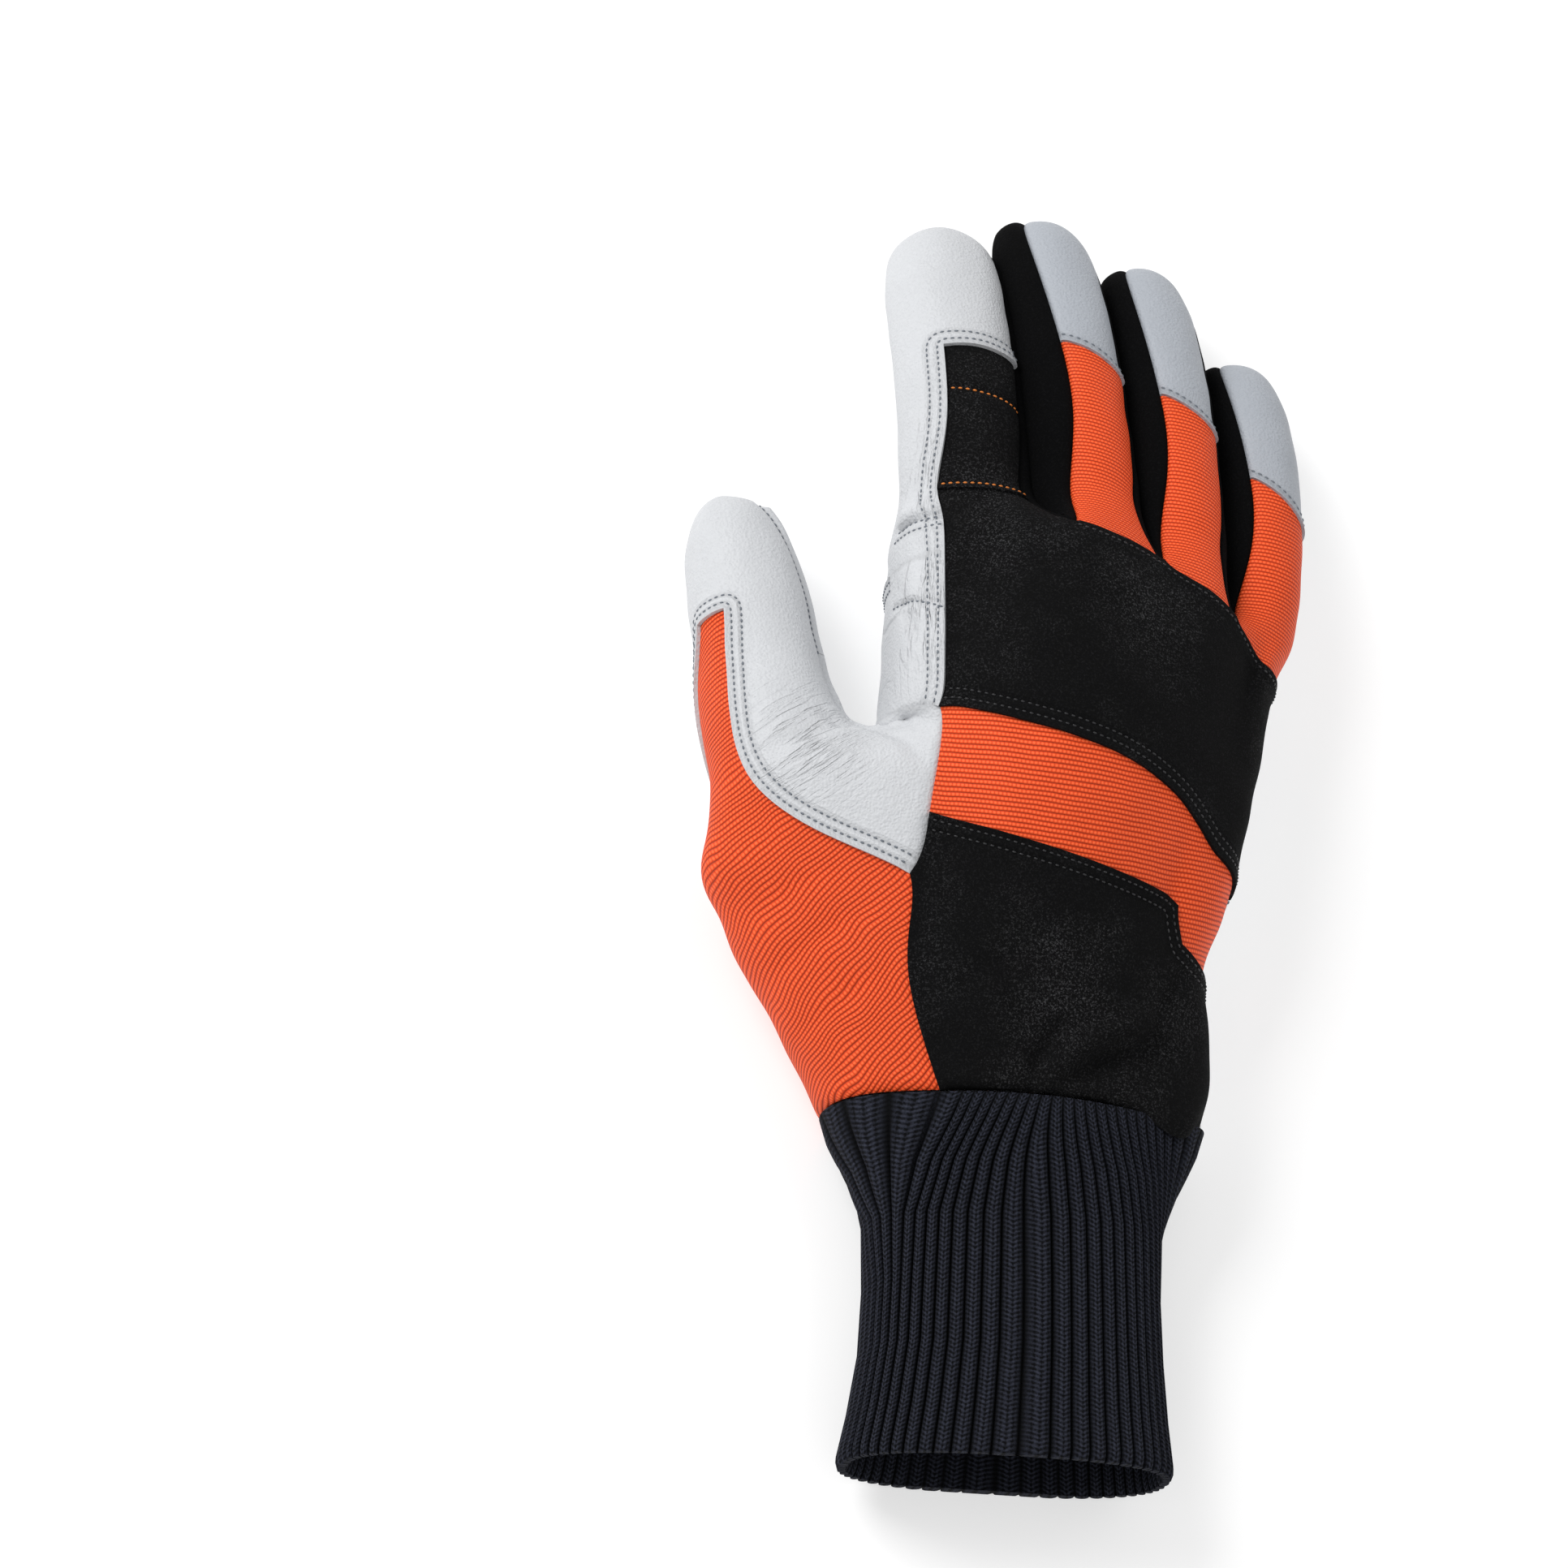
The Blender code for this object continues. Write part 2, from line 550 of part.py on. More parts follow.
def vertex_normals(points, faces):
    """Normals of the points, each face weighted by its area."""
    normals = np.zeros_like(points)
    corners = np.array(faces)
    crossed = np.cross(points[corners[:, 2]] - points[corners[:, 0]], points[corners[:, 3]] - points[corners[:, 1]])
    for k in range(4):
        np.add.at(normals, corners[:, k], crossed)
    return normals / np.maximum(np.linalg.norm(normals, axis=1), SMALLEST)[:, None]


def rim_edges(faces):
    """The edges that only one face uses, each in that face's direction."""
    directed = {(face[k], face[(k + 1) % len(face)]) for face in faces for k in range(len(face))}
    return [(a, b) for a, b in directed if (b, a) not in directed]


def shell(points, normals, faces, wall):
    """A closed wall under a patch of the surface, drawn in from its seams by half the seam's gap."""
    used = sorted({corner for face in faces for corner in face})
    inwards = {}
    rim = sorted(rim_edges(faces))
    rim_points = {a for a, _ in rim}
    for face in faces:
        centre = np.mean([points[k] for k in face], axis=0)
        for k in face:
            if k in rim_points:
                away = centre - points[k]
                inwards[k] = inwards.get(k, 0) + away / np.linalg.norm(away)
    outer, inner = [], []
    for k in used:
        point, inset = points[k], np.zeros(3)
        if k in inwards:
            way = inwards[k] - normals[k] * np.dot(inwards[k], normals[k])
            inset = way / max(np.linalg.norm(way), SMALLEST) * SEAM_GAP
        top = point + inset * OUTER_INSET
        under = point + inset * INNER_INSET - normals[k] * wall
        outer.append((top[0], top[1], max(top[2], 0.0)))
        inner.append((under[0], under[1], max(under[2], wall)))
    number = {k: i for i, k in enumerate(used)}
    count = len(used)
    walls = [[number[k] for k in face] for face in faces]
    walls += [[number[k] + count for k in reversed(face)] for face in faces]
    walls += [[number[b], number[a], number[a] + count, number[b] + count] for a, b in rim]
    return outer + inner, walls


def loop_point(loop, share):
    """A point at a share of the way round a closed loop of points, counted in points."""
    at = share * len(loop)
    low = int(math.floor(at)) % len(loop)
    part = at - math.floor(at)
    return loop[low] * (1 - part) + loop[(low + 1) % len(loop)] * part


def cuff_angles(loop):
    """The angle of each loop point about the loop's middle, seen along the arm, with no jumps."""
    middle = np.mean(loop, axis=0)
    return np.unwrap([math.atan2(p[2] - middle[2], p[0] - middle[0]) for p in loop])


def cuff_mesh(loop):
    """The knit cuff: a ribbed tube from the hand's wrist edge to its hem."""
    count = 2 * CUFF_RIBS
    angles = cuff_angles(loop)
    outer, inner = [], []
    for ring in CUFF:
        drop = CUFF_TOP_GAP + ring.along * CUFF_LENGTH
        half_width = CUFF_WIDTH / 2 * ring.width
        half_height = CUFF_HEIGHT / 2 * ring.height
        for k in range(count):
            on_hand = loop_point(loop, k / count)
            turn = np.interp(k / count * len(loop), range(len(loop) + 1),
                             np.append(angles, angles[0] - 2 * math.pi))
            even = angles[0] - 2 * math.pi * k / count
            turn = turn + (even - turn) * ring.blend
            c, s = math.cos(turn), math.sin(turn)
            round_x = math.copysign(abs(c) ** (2 / CUFF_SQUARENESS), c)
            round_z = math.copysign(abs(s) ** (2 / CUFF_SQUARENESS), s)
            own = np.array((ring.shift * PALM_WIDTH + half_width * round_x, 0.0,
                            CUFF_HEIGHT / 2 + half_height * round_z))
            mean = on_hand * (1 - ring.blend) + own * ring.blend
            mean[1] = on_hand[1] * (1 - ring.blend) - drop
            out = np.array((c / half_width, 0.0, s / half_height))
            out /= np.linalg.norm(out)
            rib = RIB_DEPTH / 2 * ring.ribs * (1 if k % 2 else -1)
            crest = mean + out * rib
            lining = mean - out * KNIT_WALL
            outer.append((crest[0], crest[1], max(crest[2], 0.0)))
            inner.append((lining[0], lining[1], max(lining[2], KNIT_WALL)))
    rows = len(CUFF)
    walls = []
    for row in range(rows - 1):
        for k in range(count):
            after = (k + 1) % count
            a, b = row * count + k, row * count + after
            walls.append((a, a + count, b + count, b))
            walls.append(tuple(p + rows * count for p in (b, b + count, a + count, a)))
    last = (rows - 1) * count
    for k in range(count):
        after = (k + 1) % count
        walls.append((k, after, after + rows * count, k + rows * count))
        walls.append((last + after, last + k, last + k + rows * count, last + after + rows * count))
    return outer + inner, walls


def finish_material(name):
    """One plain material for each finish."""
    if name in bpy.data.materials:
        return bpy.data.materials[name]
    colour, roughness = FINISHES[name]
    material = bpy.data.materials.new(name)
    material.use_nodes = True
    shader = material.node_tree.nodes["Principled BSDF"]
    shader.inputs["Base Color"].default_value = (*colour, 1.0)
    shader.inputs["Roughness"].default_value = roughness
    shader.inputs["Metallic"].default_value = 0.0
    return material


def add_piece(name, points, faces, finish):
    """A named object from points and faces, shaded smooth up to its rims."""
    mesh = bpy.data.meshes.new(name)
    mesh.from_pydata([tuple(point) for point in points], [], faces)
    shape = bmesh.new()
    shape.from_mesh(mesh)
    bmesh.ops.triangulate(shape, faces=shape.faces)
    shape.to_mesh(mesh)
    shape.free()
    mesh.shade_smooth()
    mesh.set_sharp_from_angle(angle=math.radians(SHARP_ANGLE))
    mesh.materials.append(finish_material(finish))
    piece = bpy.data.objects.new(name, mesh)
    bpy.context.scene.collection.objects.link(piece)
    return piece


def centre_on_floor(pieces):
    """Moves all meshes so that the box round them stands centred on the origin."""
    corners = np.array([vertex.co for piece in pieces for vertex in piece.data.vertices])
    low, high = corners.min(axis=0), corners.max(axis=0)
    shift = Vector((-(low[0] + high[0]) / 2, -(low[1] + high[1]) / 2, -low[2]))
    for piece in pieces:
        for vertex in piece.data.vertices:
            vertex.co = vertex.co + shift


def main():
    """Clears the scene and builds the glove."""
    for thing in list(bpy.data.objects):
        bpy.data.objects.remove(thing)
    cage, wrist = build_cage()
    points, normals, faces, panels = smooth_surface(cage, 0)
    pieces = []
    for number, name in enumerate(PANEL_NAMES):
        patch = [face for face, panel in zip(faces, panels) if panel == number]
        panel = PANELS[name]
        pieces.append(add_piece(name, *shell(points, normals, patch, panel.wall), panel.finish))
    pieces.append(add_piece("knit_cuff", *cuff_mesh([points[k] for k in wrist]), "navy_knit"))
    centre_on_floor(pieces)


main()
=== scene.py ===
"""The look of the chainsaw glove: sewn leather, fabric and suede panels, stitches and a ribbed knit cuff.

Each detailed piece stands for the plain solid of the same part. The hand is one smooth surface,
worked out from short tables of sections and cut along its seams; its panels get their laps, folds,
padding and stitches here. Lengths in the tables are in millimetres unless they are shares.
"""

import functools
import math
from collections import namedtuple

import bpy
import numpy as np
from mathutils import Matrix, Vector


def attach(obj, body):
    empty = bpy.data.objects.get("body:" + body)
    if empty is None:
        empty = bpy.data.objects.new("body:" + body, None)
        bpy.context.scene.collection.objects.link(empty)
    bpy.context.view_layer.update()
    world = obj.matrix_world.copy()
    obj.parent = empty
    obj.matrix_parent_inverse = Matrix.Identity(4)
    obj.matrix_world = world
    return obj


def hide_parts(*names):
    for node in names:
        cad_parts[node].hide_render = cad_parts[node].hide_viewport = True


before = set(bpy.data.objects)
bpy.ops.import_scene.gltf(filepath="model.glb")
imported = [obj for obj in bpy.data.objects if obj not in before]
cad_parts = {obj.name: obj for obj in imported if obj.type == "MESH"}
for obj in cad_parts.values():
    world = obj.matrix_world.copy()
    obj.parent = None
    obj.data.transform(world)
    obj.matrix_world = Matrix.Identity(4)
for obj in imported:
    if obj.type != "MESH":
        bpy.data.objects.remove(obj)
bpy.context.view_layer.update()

bl_info = {
    "name": "Chainsaw glove",
    "version": (1, 0, 0),
    "blender": (4, 5, 0),
    "location": "View3D > Sidebar > Glove",
    "description": "Builds a right-hand chainsaw glove with its stitches, ribs and studio",
    "category": "Object",
}

MM = 0.001

# Driving sizes, in metres
HAND_LENGTH = 0.250
HAND_HEIGHT = 0.070
FINGER_PITCH = 0.025
FINGER_ARCH = 0.0070
THUMB_RADIUS = 0.0160
KNUCKLE_VALLEY = 0.0050
CUFF_LENGTH = 0.0920
CUFF_WIDTH = 0.0770
CUFF_HEIGHT = 0.0370

# Walls, in metres
LEATHER_WALL = 0.0016
FABRIC_WALL = 0.0018
SUEDE_WALL = 0.0024
GUSSET_WALL = 0.0014
KNIT_WALL = 0.0034

# Keeps a length from being divided by nothing
SMALLEST = 1e-12

# Counts
SIDE_SEGMENTS = 4
SHARP_ANGLE = 50.0
FINGER_RING = 4 * SIDE_SEGMENTS
PALM_ROWS = 13
BASE_SEAM_ROW = 1
BAND_TOP_ROW = 5
BAND_END_ROW = 8
BAND_SIDE_END_ROW = 9
THUMB_END_ROW = 9
ROWS_TO_CAP = 5
ROWS_IN_CAP = 4
APEX_ROW = 5
VALLEY_ROWS = 3
STRIP_COLUMNS = 2
CUFF_RIBS = 54

# Four fingers side by side span the palm, and lie a little apart
PALM_WIDTH = 4 * FINGER_PITCH
FINGER_RADIUS = 0.6 * FINGER_PITCH

# Cross-sections of the palm, from the finger roots to the wrist.
# at, x and z are shares of HAND_LENGTH, PALM_WIDTH and HAND_HEIGHT.
# The back runs from its radial edge (thumb side) over the crown to its ulnar edge (little finger).
PalmSection = namedtuple("PalmSection", (
    "row",
    "radial_at", "crown_at", "ulnar_at", "ulnar_side_at", "ulnar_drop",
    "radial_x", "radial_z", "crown_z", "ulnar_x", "ulnar_z",
    "radial_side_x", "radial_side_z", "ulnar_side_x", "ulnar_side_z",
    "palm_radial_x", "palm_radial_z", "palm_middle_z", "palm_ulnar_x", "palm_ulnar_z",
))
PALM = (
    PalmSection(0, 0.610, 0.590, 0.540, 0.485, -0.050, -0.245, 0.80, 0.94, 0.65, 0.62,
                -0.345, 0.55, 0.710, 0.34, -0.27, 0.27, 0.34, 0.62, 0.11),
    PalmSection(5, 0.385, 0.345, 0.330, 0.255, -0.062, -0.255, 0.88, 0.99, 0.480, 0.68,
                -0.39, 0.62, 0.595, 0.36, -0.33, 0.24, 0.20, 0.48, 0.02),
    PalmSection(8, 0.275, 0.237, 0.221, 0.170, 0.000, -0.260, 0.82, 0.88, 0.365, 0.69,
                -0.60, 0.45, 0.520, 0.36, -0.42, 0.03, 0.08, 0.40, -0.02),
    PalmSection(9, 0.205, 0.190, 0.175, 0.145, 0.000, -0.262, 0.77, 0.84, 0.385, 0.64,
                -0.790, 0.34, 0.510, 0.33, -0.50, -0.02, 0.02, 0.40, -0.02),
    PalmSection(11, 0.112, 0.100, 0.090, 0.080, 0.000, -0.300, 0.69, 0.74, 0.440, 0.56,
                -0.655, 0.30, 0.530, 0.30, -0.44, -0.02, -0.01, 0.41, -0.02),
    PalmSection(13, 0.000, 0.000, -0.006, 0.000, 0.000, -0.205, 0.60, 0.62, 0.415, 0.50,
                -0.505, 0.30, 0.525, 0.28, -0.36, -0.02, -0.01, 0.40, -0.02),
)

# Fingers, radial side first. x, y and z of root and tip are shares of PALM_WIDTH, HAND_LENGTH and HAND_HEIGHT.
# radius and depth are shares of FINGER_RADIUS, cap is where the leather tip starts along the finger,
# bow bends the finger sideways and slant draws its rings back on the little-finger side, as shares of
# FINGER_RADIUS, and roll turns its back, in degrees.
Finger = namedtuple("Finger", (
    "name", "root_x", "root_y", "root_z", "tip_x", "tip_y", "tip_z",
    "radius", "tip_radius", "depth", "cap", "bow", "roll", "slant",
))
FINGERS = (
    Finger("index", -0.150, 0.600, 0.56, -0.152, 1.004, 0.20, 1.14, 1.08, 0.96, 0.510, 0.02, 20.0, 0.00),
    Finger("middle", 0.185, 0.600, 0.59, 0.138, 1.032, 0.19, 0.94, 0.90, 0.90, 0.505, 0.02, 24.0, 0.45),
    Finger("ring", 0.435, 0.575, 0.52, 0.418, 0.990, 0.18, 0.89, 0.86, 0.86, 0.475, 0.03, 26.0, 0.50),
    Finger("little", 0.645, 0.520, 0.37, 0.680, 0.888, 0.17, 0.86, 0.84, 0.80, 0.490, 0.20, 26.0, 0.55),
)
# Where the webs between the fingers start on the back and on the palm side, as shares of the first section
BACK_WEBS = (0.0, 0.385, 0.665, 0.895, 1.0)
PALM_WEBS = (0.0, 0.326, 0.624, 0.865, 1.0)
BACK_SPAN = 86.0
TIP_START = 0.84
TIP_ROUNDNESS = 2.6
LAST_RING_IN_TIP = 0.78
END_RING_IN_TIP = 0.94
TIP_SPREAD = 24.0
SPREAD_START = 0.35
CAP_BULGE = 0.50
EDGE_TURN = 6
ROLL_FULL = 0.35
SLANT_FULL = 0.40

# Rings along the thumb. across, along and up are shares of PALM_WIDTH, HAND_LENGTH and HAND_HEIGHT, radius and
# depth of THUMB_RADIUS. The four angles, in degrees, are the seam lines round the ring: the gusset's
# back edge, the inner seam, the inner edge of the palm side and the gusset's palm edge.
ThumbRing = namedtuple("ThumbRing", (
    "across", "along", "up", "radius", "depth", "heading", "gusset_back", "inner", "palm_inner", "gusset_palm",
))
THUMB = (
    ThumbRing(-0.600, 0.345, 0.42, 1.32, 1.34, 28.0, 146.0, 20.0, -60.0, -136.0),
    ThumbRing(-0.645, 0.410, 0.37, 1.13, 1.22, 16.0, 138.0, 16.0, -64.0, -160.0),
    ThumbRing(-0.665, 0.465, 0.33, 1.06, 1.12, 11.0, 134.0, 14.0, -66.0, -178.0),
    ThumbRing(-0.677, 0.518, 0.30, 1.03, 1.04, 8.0, 130.0, 14.0, -68.0, -212.0),
    ThumbRing(-0.690, 0.560, 0.27, 0.99, 0.99, 6.0, 130.0, 14.0, -70.0, -202.0),
    ThumbRing(-0.704, 0.600, 0.25, 0.92, 0.94, 4.0, 133.0, 16.0, -72.0, -214.0),
    ThumbRing(-0.713, 0.634, 0.23, 0.80, 0.84, 0.0, 135.0, 28.0, -60.0, -210.0),
    ThumbRing(-0.717, 0.660, 0.21, 0.60, 0.62, 0.0, 135.0, 40.0, -48.0, -222.0),
)
THUMB_BASE_BULGE = (-0.070, -0.016, 0.0)
THUMB_TIP = (-0.720, 0.678, 0.19)
THUMB_DROOP = 0.12

# The knit cuff from the hand's seam to its hem. along is a share of CUFF_LENGTH, width and height of
# CUFF_WIDTH and CUFF_HEIGHT, shift of PALM_WIDTH, and blend goes from the hand's edge to the cuff's own round.
CuffRing = namedtuple("CuffRing", ("along", "width", "height", "shift", "blend", "ribs"))
CUFF = (
    CuffRing(0.00, 1.00, 1.00, 0.010, 0.00, 0.0),
    CuffRing(0.07, 1.00, 1.04, 0.010, 0.22, 0.6),
    CuffRing(0.18, 0.99, 1.04, 0.010, 0.62, 1.0),
    CuffRing(0.32, 0.975, 1.00, 0.008, 0.93, 1.0),
    CuffRing(0.50, 0.97, 0.98, 0.006, 1.00, 1.0),
    CuffRing(0.68, 0.99, 0.98, 0.002, 1.00, 1.0),
    CuffRing(0.85, 1.04, 1.00, -0.008, 1.00, 1.0),
    CuffRing(1.00, 1.10, 1.04, -0.018, 1.00, 1.0),
)
CUFF_SQUARENESS = 2.5
CUFF_TOP_GAP = 0.0004

# The panels: the thickness of each one's wall and the kind of finish that it gets
Panel = namedtuple("Panel", ("wall", "finish"))
PANELS = {
    "finger_leather": Panel(LEATHER_WALL, "leather"),
    "middle_tip_cap": Panel(LEATHER_WALL, "leather"),
    "ring_tip_cap": Panel(LEATHER_WALL, "leather"),
    "little_tip_cap": Panel(LEATHER_WALL, "leather"),
    "palm_leather": Panel(LEATHER_WALL, "leather"),
    "thumb_leather": Panel(LEATHER_WALL, "leather"),
    "index_back_panel": Panel(SUEDE_WALL, "black_suede"),
    "knuckle_panel": Panel(SUEDE_WALL, "black_suede"),
    "wrist_panel": Panel(SUEDE_WALL, "black_suede"),
    "middle_back": Panel(FABRIC_WALL, "orange_fabric"),
    "ring_back": Panel(FABRIC_WALL, "orange_fabric"),
    "little_back": Panel(FABRIC_WALL, "orange_fabric"),
    "back_band": Panel(FABRIC_WALL, "orange_fabric"),
    "thumb_gusset": Panel(FABRIC_WALL, "orange_fabric"),
    "index_middle_fourchette": Panel(GUSSET_WALL, "black_fabric"),
    "middle_ring_fourchette": Panel(GUSSET_WALL, "black_fabric"),
    "ring_little_fourchette": Panel(GUSSET_WALL, "black_fabric"),
}
PANEL_NAMES = tuple(PANELS)

BACK_COLUMNS = SIDE_SEGMENTS * len(FINGERS)
ULNAR_COLUMN = BACK_COLUMNS + SIDE_SEGMENTS
RADIAL_COLUMN = ULNAR_COLUMN + BACK_COLUMNS
PALM_RING = RADIAL_COLUMN + SIDE_SEGMENTS


def place(across, along, up):
    """A point from shares of the palm's width, the hand's length and its height."""
    return np.array((across * PALM_WIDTH, along * HAND_LENGTH, up * HAND_HEIGHT))


def smooth_step(value):
    """Eases from 0 to 1 without a corner at either end."""
    value = min(max(value, 0.0), 1.0)
    return value * value * (3.0 - 2.0 * value)


def section_at(row):
    """The palm's section at a row, with each column of the table blended along a smooth curve."""
    rows = [section.row for section in PALM]
    place_in_table = max(i for i, at in enumerate(rows[:-1]) if row >= at)
    low, high = PALM[place_in_table], PALM[place_in_table + 1]
    before = PALM[max(place_in_table - 1, 0)]
    after = PALM[min(place_in_table + 2, len(PALM) - 1)]
    span = high.row - low.row
    share = (row - low.row) / span
    blended = []
    for a, b, c, d in zip(before, low, high, after):
        start = (c - a) * span / max(high.row - before.row, 1)
        end = (d - b) * span / max(after.row - low.row, 1)
        blended.append(b + share * (start + share * (
            3.0 * (c - b) - 2.0 * start - end + share * (start + end - 2.0 * (c - b)))))
    return PalmSection(*blended)


def through_three(first, middle, last, share):
    """A parabola through three points, with the middle one half way."""
    return (first * (1 - share) * (1 - 2 * share) + middle * 4 * share * (1 - share)
            + last * share * (2 * share - 1))


def round_side(start, side, end, share):
    """A rounded edge from start through side to end, as two quarter ellipses."""
    if share < 0.5:
        angle = math.pi * share
        return side + (start - side) * np.array((1 - math.sin(angle), 1 - math.sin(angle), math.cos(angle)))
    angle = math.pi * (1 - share)
    return side + (end - side) * np.array((1 - math.sin(angle), 1 - math.sin(angle), math.cos(angle)))


def column_shares(row, webs):
    """Shares across the palm at its columns: in step with the fingers at the webs, then even."""
    evening = smooth_step(row / BAND_TOP_ROW)
    shares = []
    for column in range(BACK_COLUMNS + 1):
        finger = min(column // SIDE_SEGMENTS, len(FINGERS) - 1)
        part = column / SIDE_SEGMENTS - finger
        at_webs = webs[finger] + (webs[finger + 1] - webs[finger]) * part
        shares.append(at_webs + (column / BACK_COLUMNS - at_webs) * evening)
    return shares


def palm_ring(row):
    """The points round the palm at a row: back, little-finger side, palm side and thumb side."""
    cut = section_at(row)
    radial = place(cut.radial_x, cut.radial_at, cut.radial_z)
    ulnar = place(cut.ulnar_x, cut.ulnar_at, cut.ulnar_z)
    ulnar_edge = place(cut.ulnar_x, cut.ulnar_at + cut.ulnar_drop, cut.ulnar_z)
    crown = place((cut.radial_x + cut.ulnar_x) / 2, cut.crown_at, cut.crown_z)
    palm_radial = place(cut.palm_radial_x, cut.radial_at, cut.palm_radial_z)
    palm_ulnar = place(cut.palm_ulnar_x, cut.ulnar_side_at, cut.palm_ulnar_z)
    palm_middle = place((cut.palm_radial_x + cut.palm_ulnar_x) / 2, cut.crown_at, cut.palm_middle_z)
    ulnar_side = place(cut.ulnar_side_x, cut.ulnar_side_at, cut.ulnar_side_z)
    radial_side = place(cut.radial_side_x, cut.radial_at, cut.radial_side_z)
    drop = place(0.0, cut.ulnar_drop, 0.0)
    ring = [through_three(radial, crown, ulnar, share) + drop * share ** EDGE_TURN
            for share in column_shares(row, BACK_WEBS)]
    ring += [round_side(ulnar_edge, ulnar_side, palm_ulnar, i / SIDE_SEGMENTS)
             for i in range(1, SIDE_SEGMENTS)]
    ring += [through_three(palm_radial, palm_middle, palm_ulnar, share)
             for share in reversed(column_shares(row, PALM_WEBS))]
    ring += [round_side(palm_radial, radial_side, radial, i / SIDE_SEGMENTS)
             for i in range(1, SIDE_SEGMENTS)]
    return ring


def dip_between_fingers(ring, amount):
    """Lowers the back and lifts the palm side of a ring a little between neighbouring fingers."""
    for column in range(1, BACK_COLUMNS):
        phase = column * math.pi / SIDE_SEGMENTS
        dip = amount * KNUCKLE_VALLEY * (0.5 + 0.5 * math.cos(phase))
        ring[column] = ring[column] - np.array((0, 0, dip))
        ring[ULNAR_COLUMN + column] = ring[ULNAR_COLUMN + column] + np.array((0, 0, dip))


def seam_angles(corners, segments=SIDE_SEGMENTS):
    """Angles round a ring, with the given seam angles as corners and equal steps between them."""
    angles = []
    for this, following in zip(corners, corners[1:] + (corners[0] - 360.0,)):
        angles += [this + (following - this) * i / segments for i in range(segments)]
    return [math.radians(angle) for angle in angles]


def ring_points(centre, forward, radius, depth, angles):
    """A round section square to the forward direction, one point for each angle."""
    side = np.cross(forward, (0, 0, 1))
    side /= np.linalg.norm(side)
    up = np.cross(side, forward)
    return [centre + side * radius * math.cos(a) + up * depth * math.sin(a) for a in angles]


class Cage:
    """The hand's coarse surface: points, four-sided faces and the panel that each face belongs to."""

    def __init__(self):
        self.points = []
        self.faces = []
        self.panels = []
        self.thumb_seam = []

    def add_points(self, points):
        """Adds points and returns their numbers."""
        first = len(self.points)
        self.points += [np.asarray(point, float) for point in points]
        return list(range(first, len(self.points)))

    def add_face(self, corners, panel):
        """Adds a face that belongs to a panel."""
        self.faces.append(tuple(corners))
        self.panels.append(PANEL_NAMES.index(panel))

    def add_sleeve(self, outer, inner, panel_of):
        """Joins two rings of points, the outer one further from the wrist."""
        count = len(outer)
        for k in range(count):
            after = (k + 1) % count
            self.add_face((outer[k], inner[k], inner[after], outer[after]), panel_of(k))

    def add_cap(self, ring, tip, panel_of):
        """Closes a ring of four equal sides with a domed grid."""
        n = SIDE_SEGMENTS
        grid = [[None] * (n + 1) for _ in range(n + 1)]
        for k in range(n):
            grid[0][k] = ring[k]
            grid[k][n] = ring[n + k]
            grid[n][n - k] = ring[2 * n + k]
            grid[n - k][0] = ring[3 * n + k]
        rim = np.mean([self.points[k] for k in ring], axis=0)
        for j in range(1, n):
            for i in range(1, n):
                u, v = i / n, j / n
                flat = ((1 - v) * self.points[grid[0][i]] + v * self.points[grid[n][i]]) / 2
                flat = flat + ((1 - u) * self.points[grid[j][0]] + u * self.points[grid[j][n]]) / 2
                off_centre = max(abs(2 * u - 1), abs(2 * v - 1))
                lift = 1 - CAP_BULGE * off_centre ** 2
                grid[j][i] = self.add_points([flat + (tip - rim) * lift])[0]
        for j in range(n):
            for i in range(n):
                corners = (grid[j][i], grid[j + 1][i], grid[j + 1][i + 1], grid[j][i + 1])
                self.add_face(corners[::-1], panel_of(j, i))


def palm_panel(row, column):
    """The panel of a face of the palm, or None where the thumb leaves it."""
    on_back = column < BACK_COLUMNS
    on_ulnar_top = BACK_COLUMNS <= column < BACK_COLUMNS + SIDE_SEGMENTS // 2
    on_thumb_side = column >= RADIAL_COLUMN
    if on_back or on_ulnar_top:
        if row < BAND_TOP_ROW:
            return "knuckle_panel"
        if row < BAND_END_ROW or (on_ulnar_top and row < BAND_SIDE_END_ROW):
            return "back_band"
        return "wrist_panel"
    if row < BASE_SEAM_ROW:
        return "finger_leather"
    if on_thumb_side and row >= BAND_TOP_ROW:
        return "thumb_gusset" if row >= THUMB_END_ROW else None
    if row >= BAND_TOP_ROW and RADIAL_COLUMN - STRIP_COLUMNS <= column < RADIAL_COLUMN:
        return "thumb_leather"
    return "palm_leather"


FOURCHETTES = tuple(f"{a.name}_{b.name}_fourchette" for a, b in zip(FINGERS, FINGERS[1:]))


def finger_panel(number, row, segment):
    """The panel of a face along a finger: back, little-finger side, palm side, thumb side."""
    name = FINGERS[number].name
    side = segment // SIDE_SEGMENTS
    first, last = number == 0, number == len(FINGERS) - 1
    upper_side = segment % SIDE_SEGMENTS < SIDE_SEGMENTS // 2
    if side == 1 and not last:
        return FOURCHETTES[number]
    if side == 3 and not first:
        return FOURCHETTES[number - 1]
    if side == 0 or (side == 1 and upper_side):
        if first:
            if row == 0:
                return "knuckle_panel"
            return "index_back_panel" if row < ROWS_TO_CAP else "finger_leather"
        return f"{name}_back" if row < ROWS_TO_CAP else f"{name}_tip_cap"
    return "finger_leather"


def finger_cap_panel(number, j):
    """The panel of a face of a fingertip's end, j from the back to the palm side."""
    if number == 0 or j >= SIDE_SEGMENTS // 2:
        return "finger_leather"
    return f"{FINGERS[number].name}_tip_cap"


def thumb_panel(row, segment):
    """The panel of a face along the thumb: the gusset's wedge on its outer side, or leather."""
    on_outer_side = segment >= 3 * SIDE_SEGMENTS
    return "thumb_gusset" if on_outer_side and row < APEX_ROW else "thumb_leather"


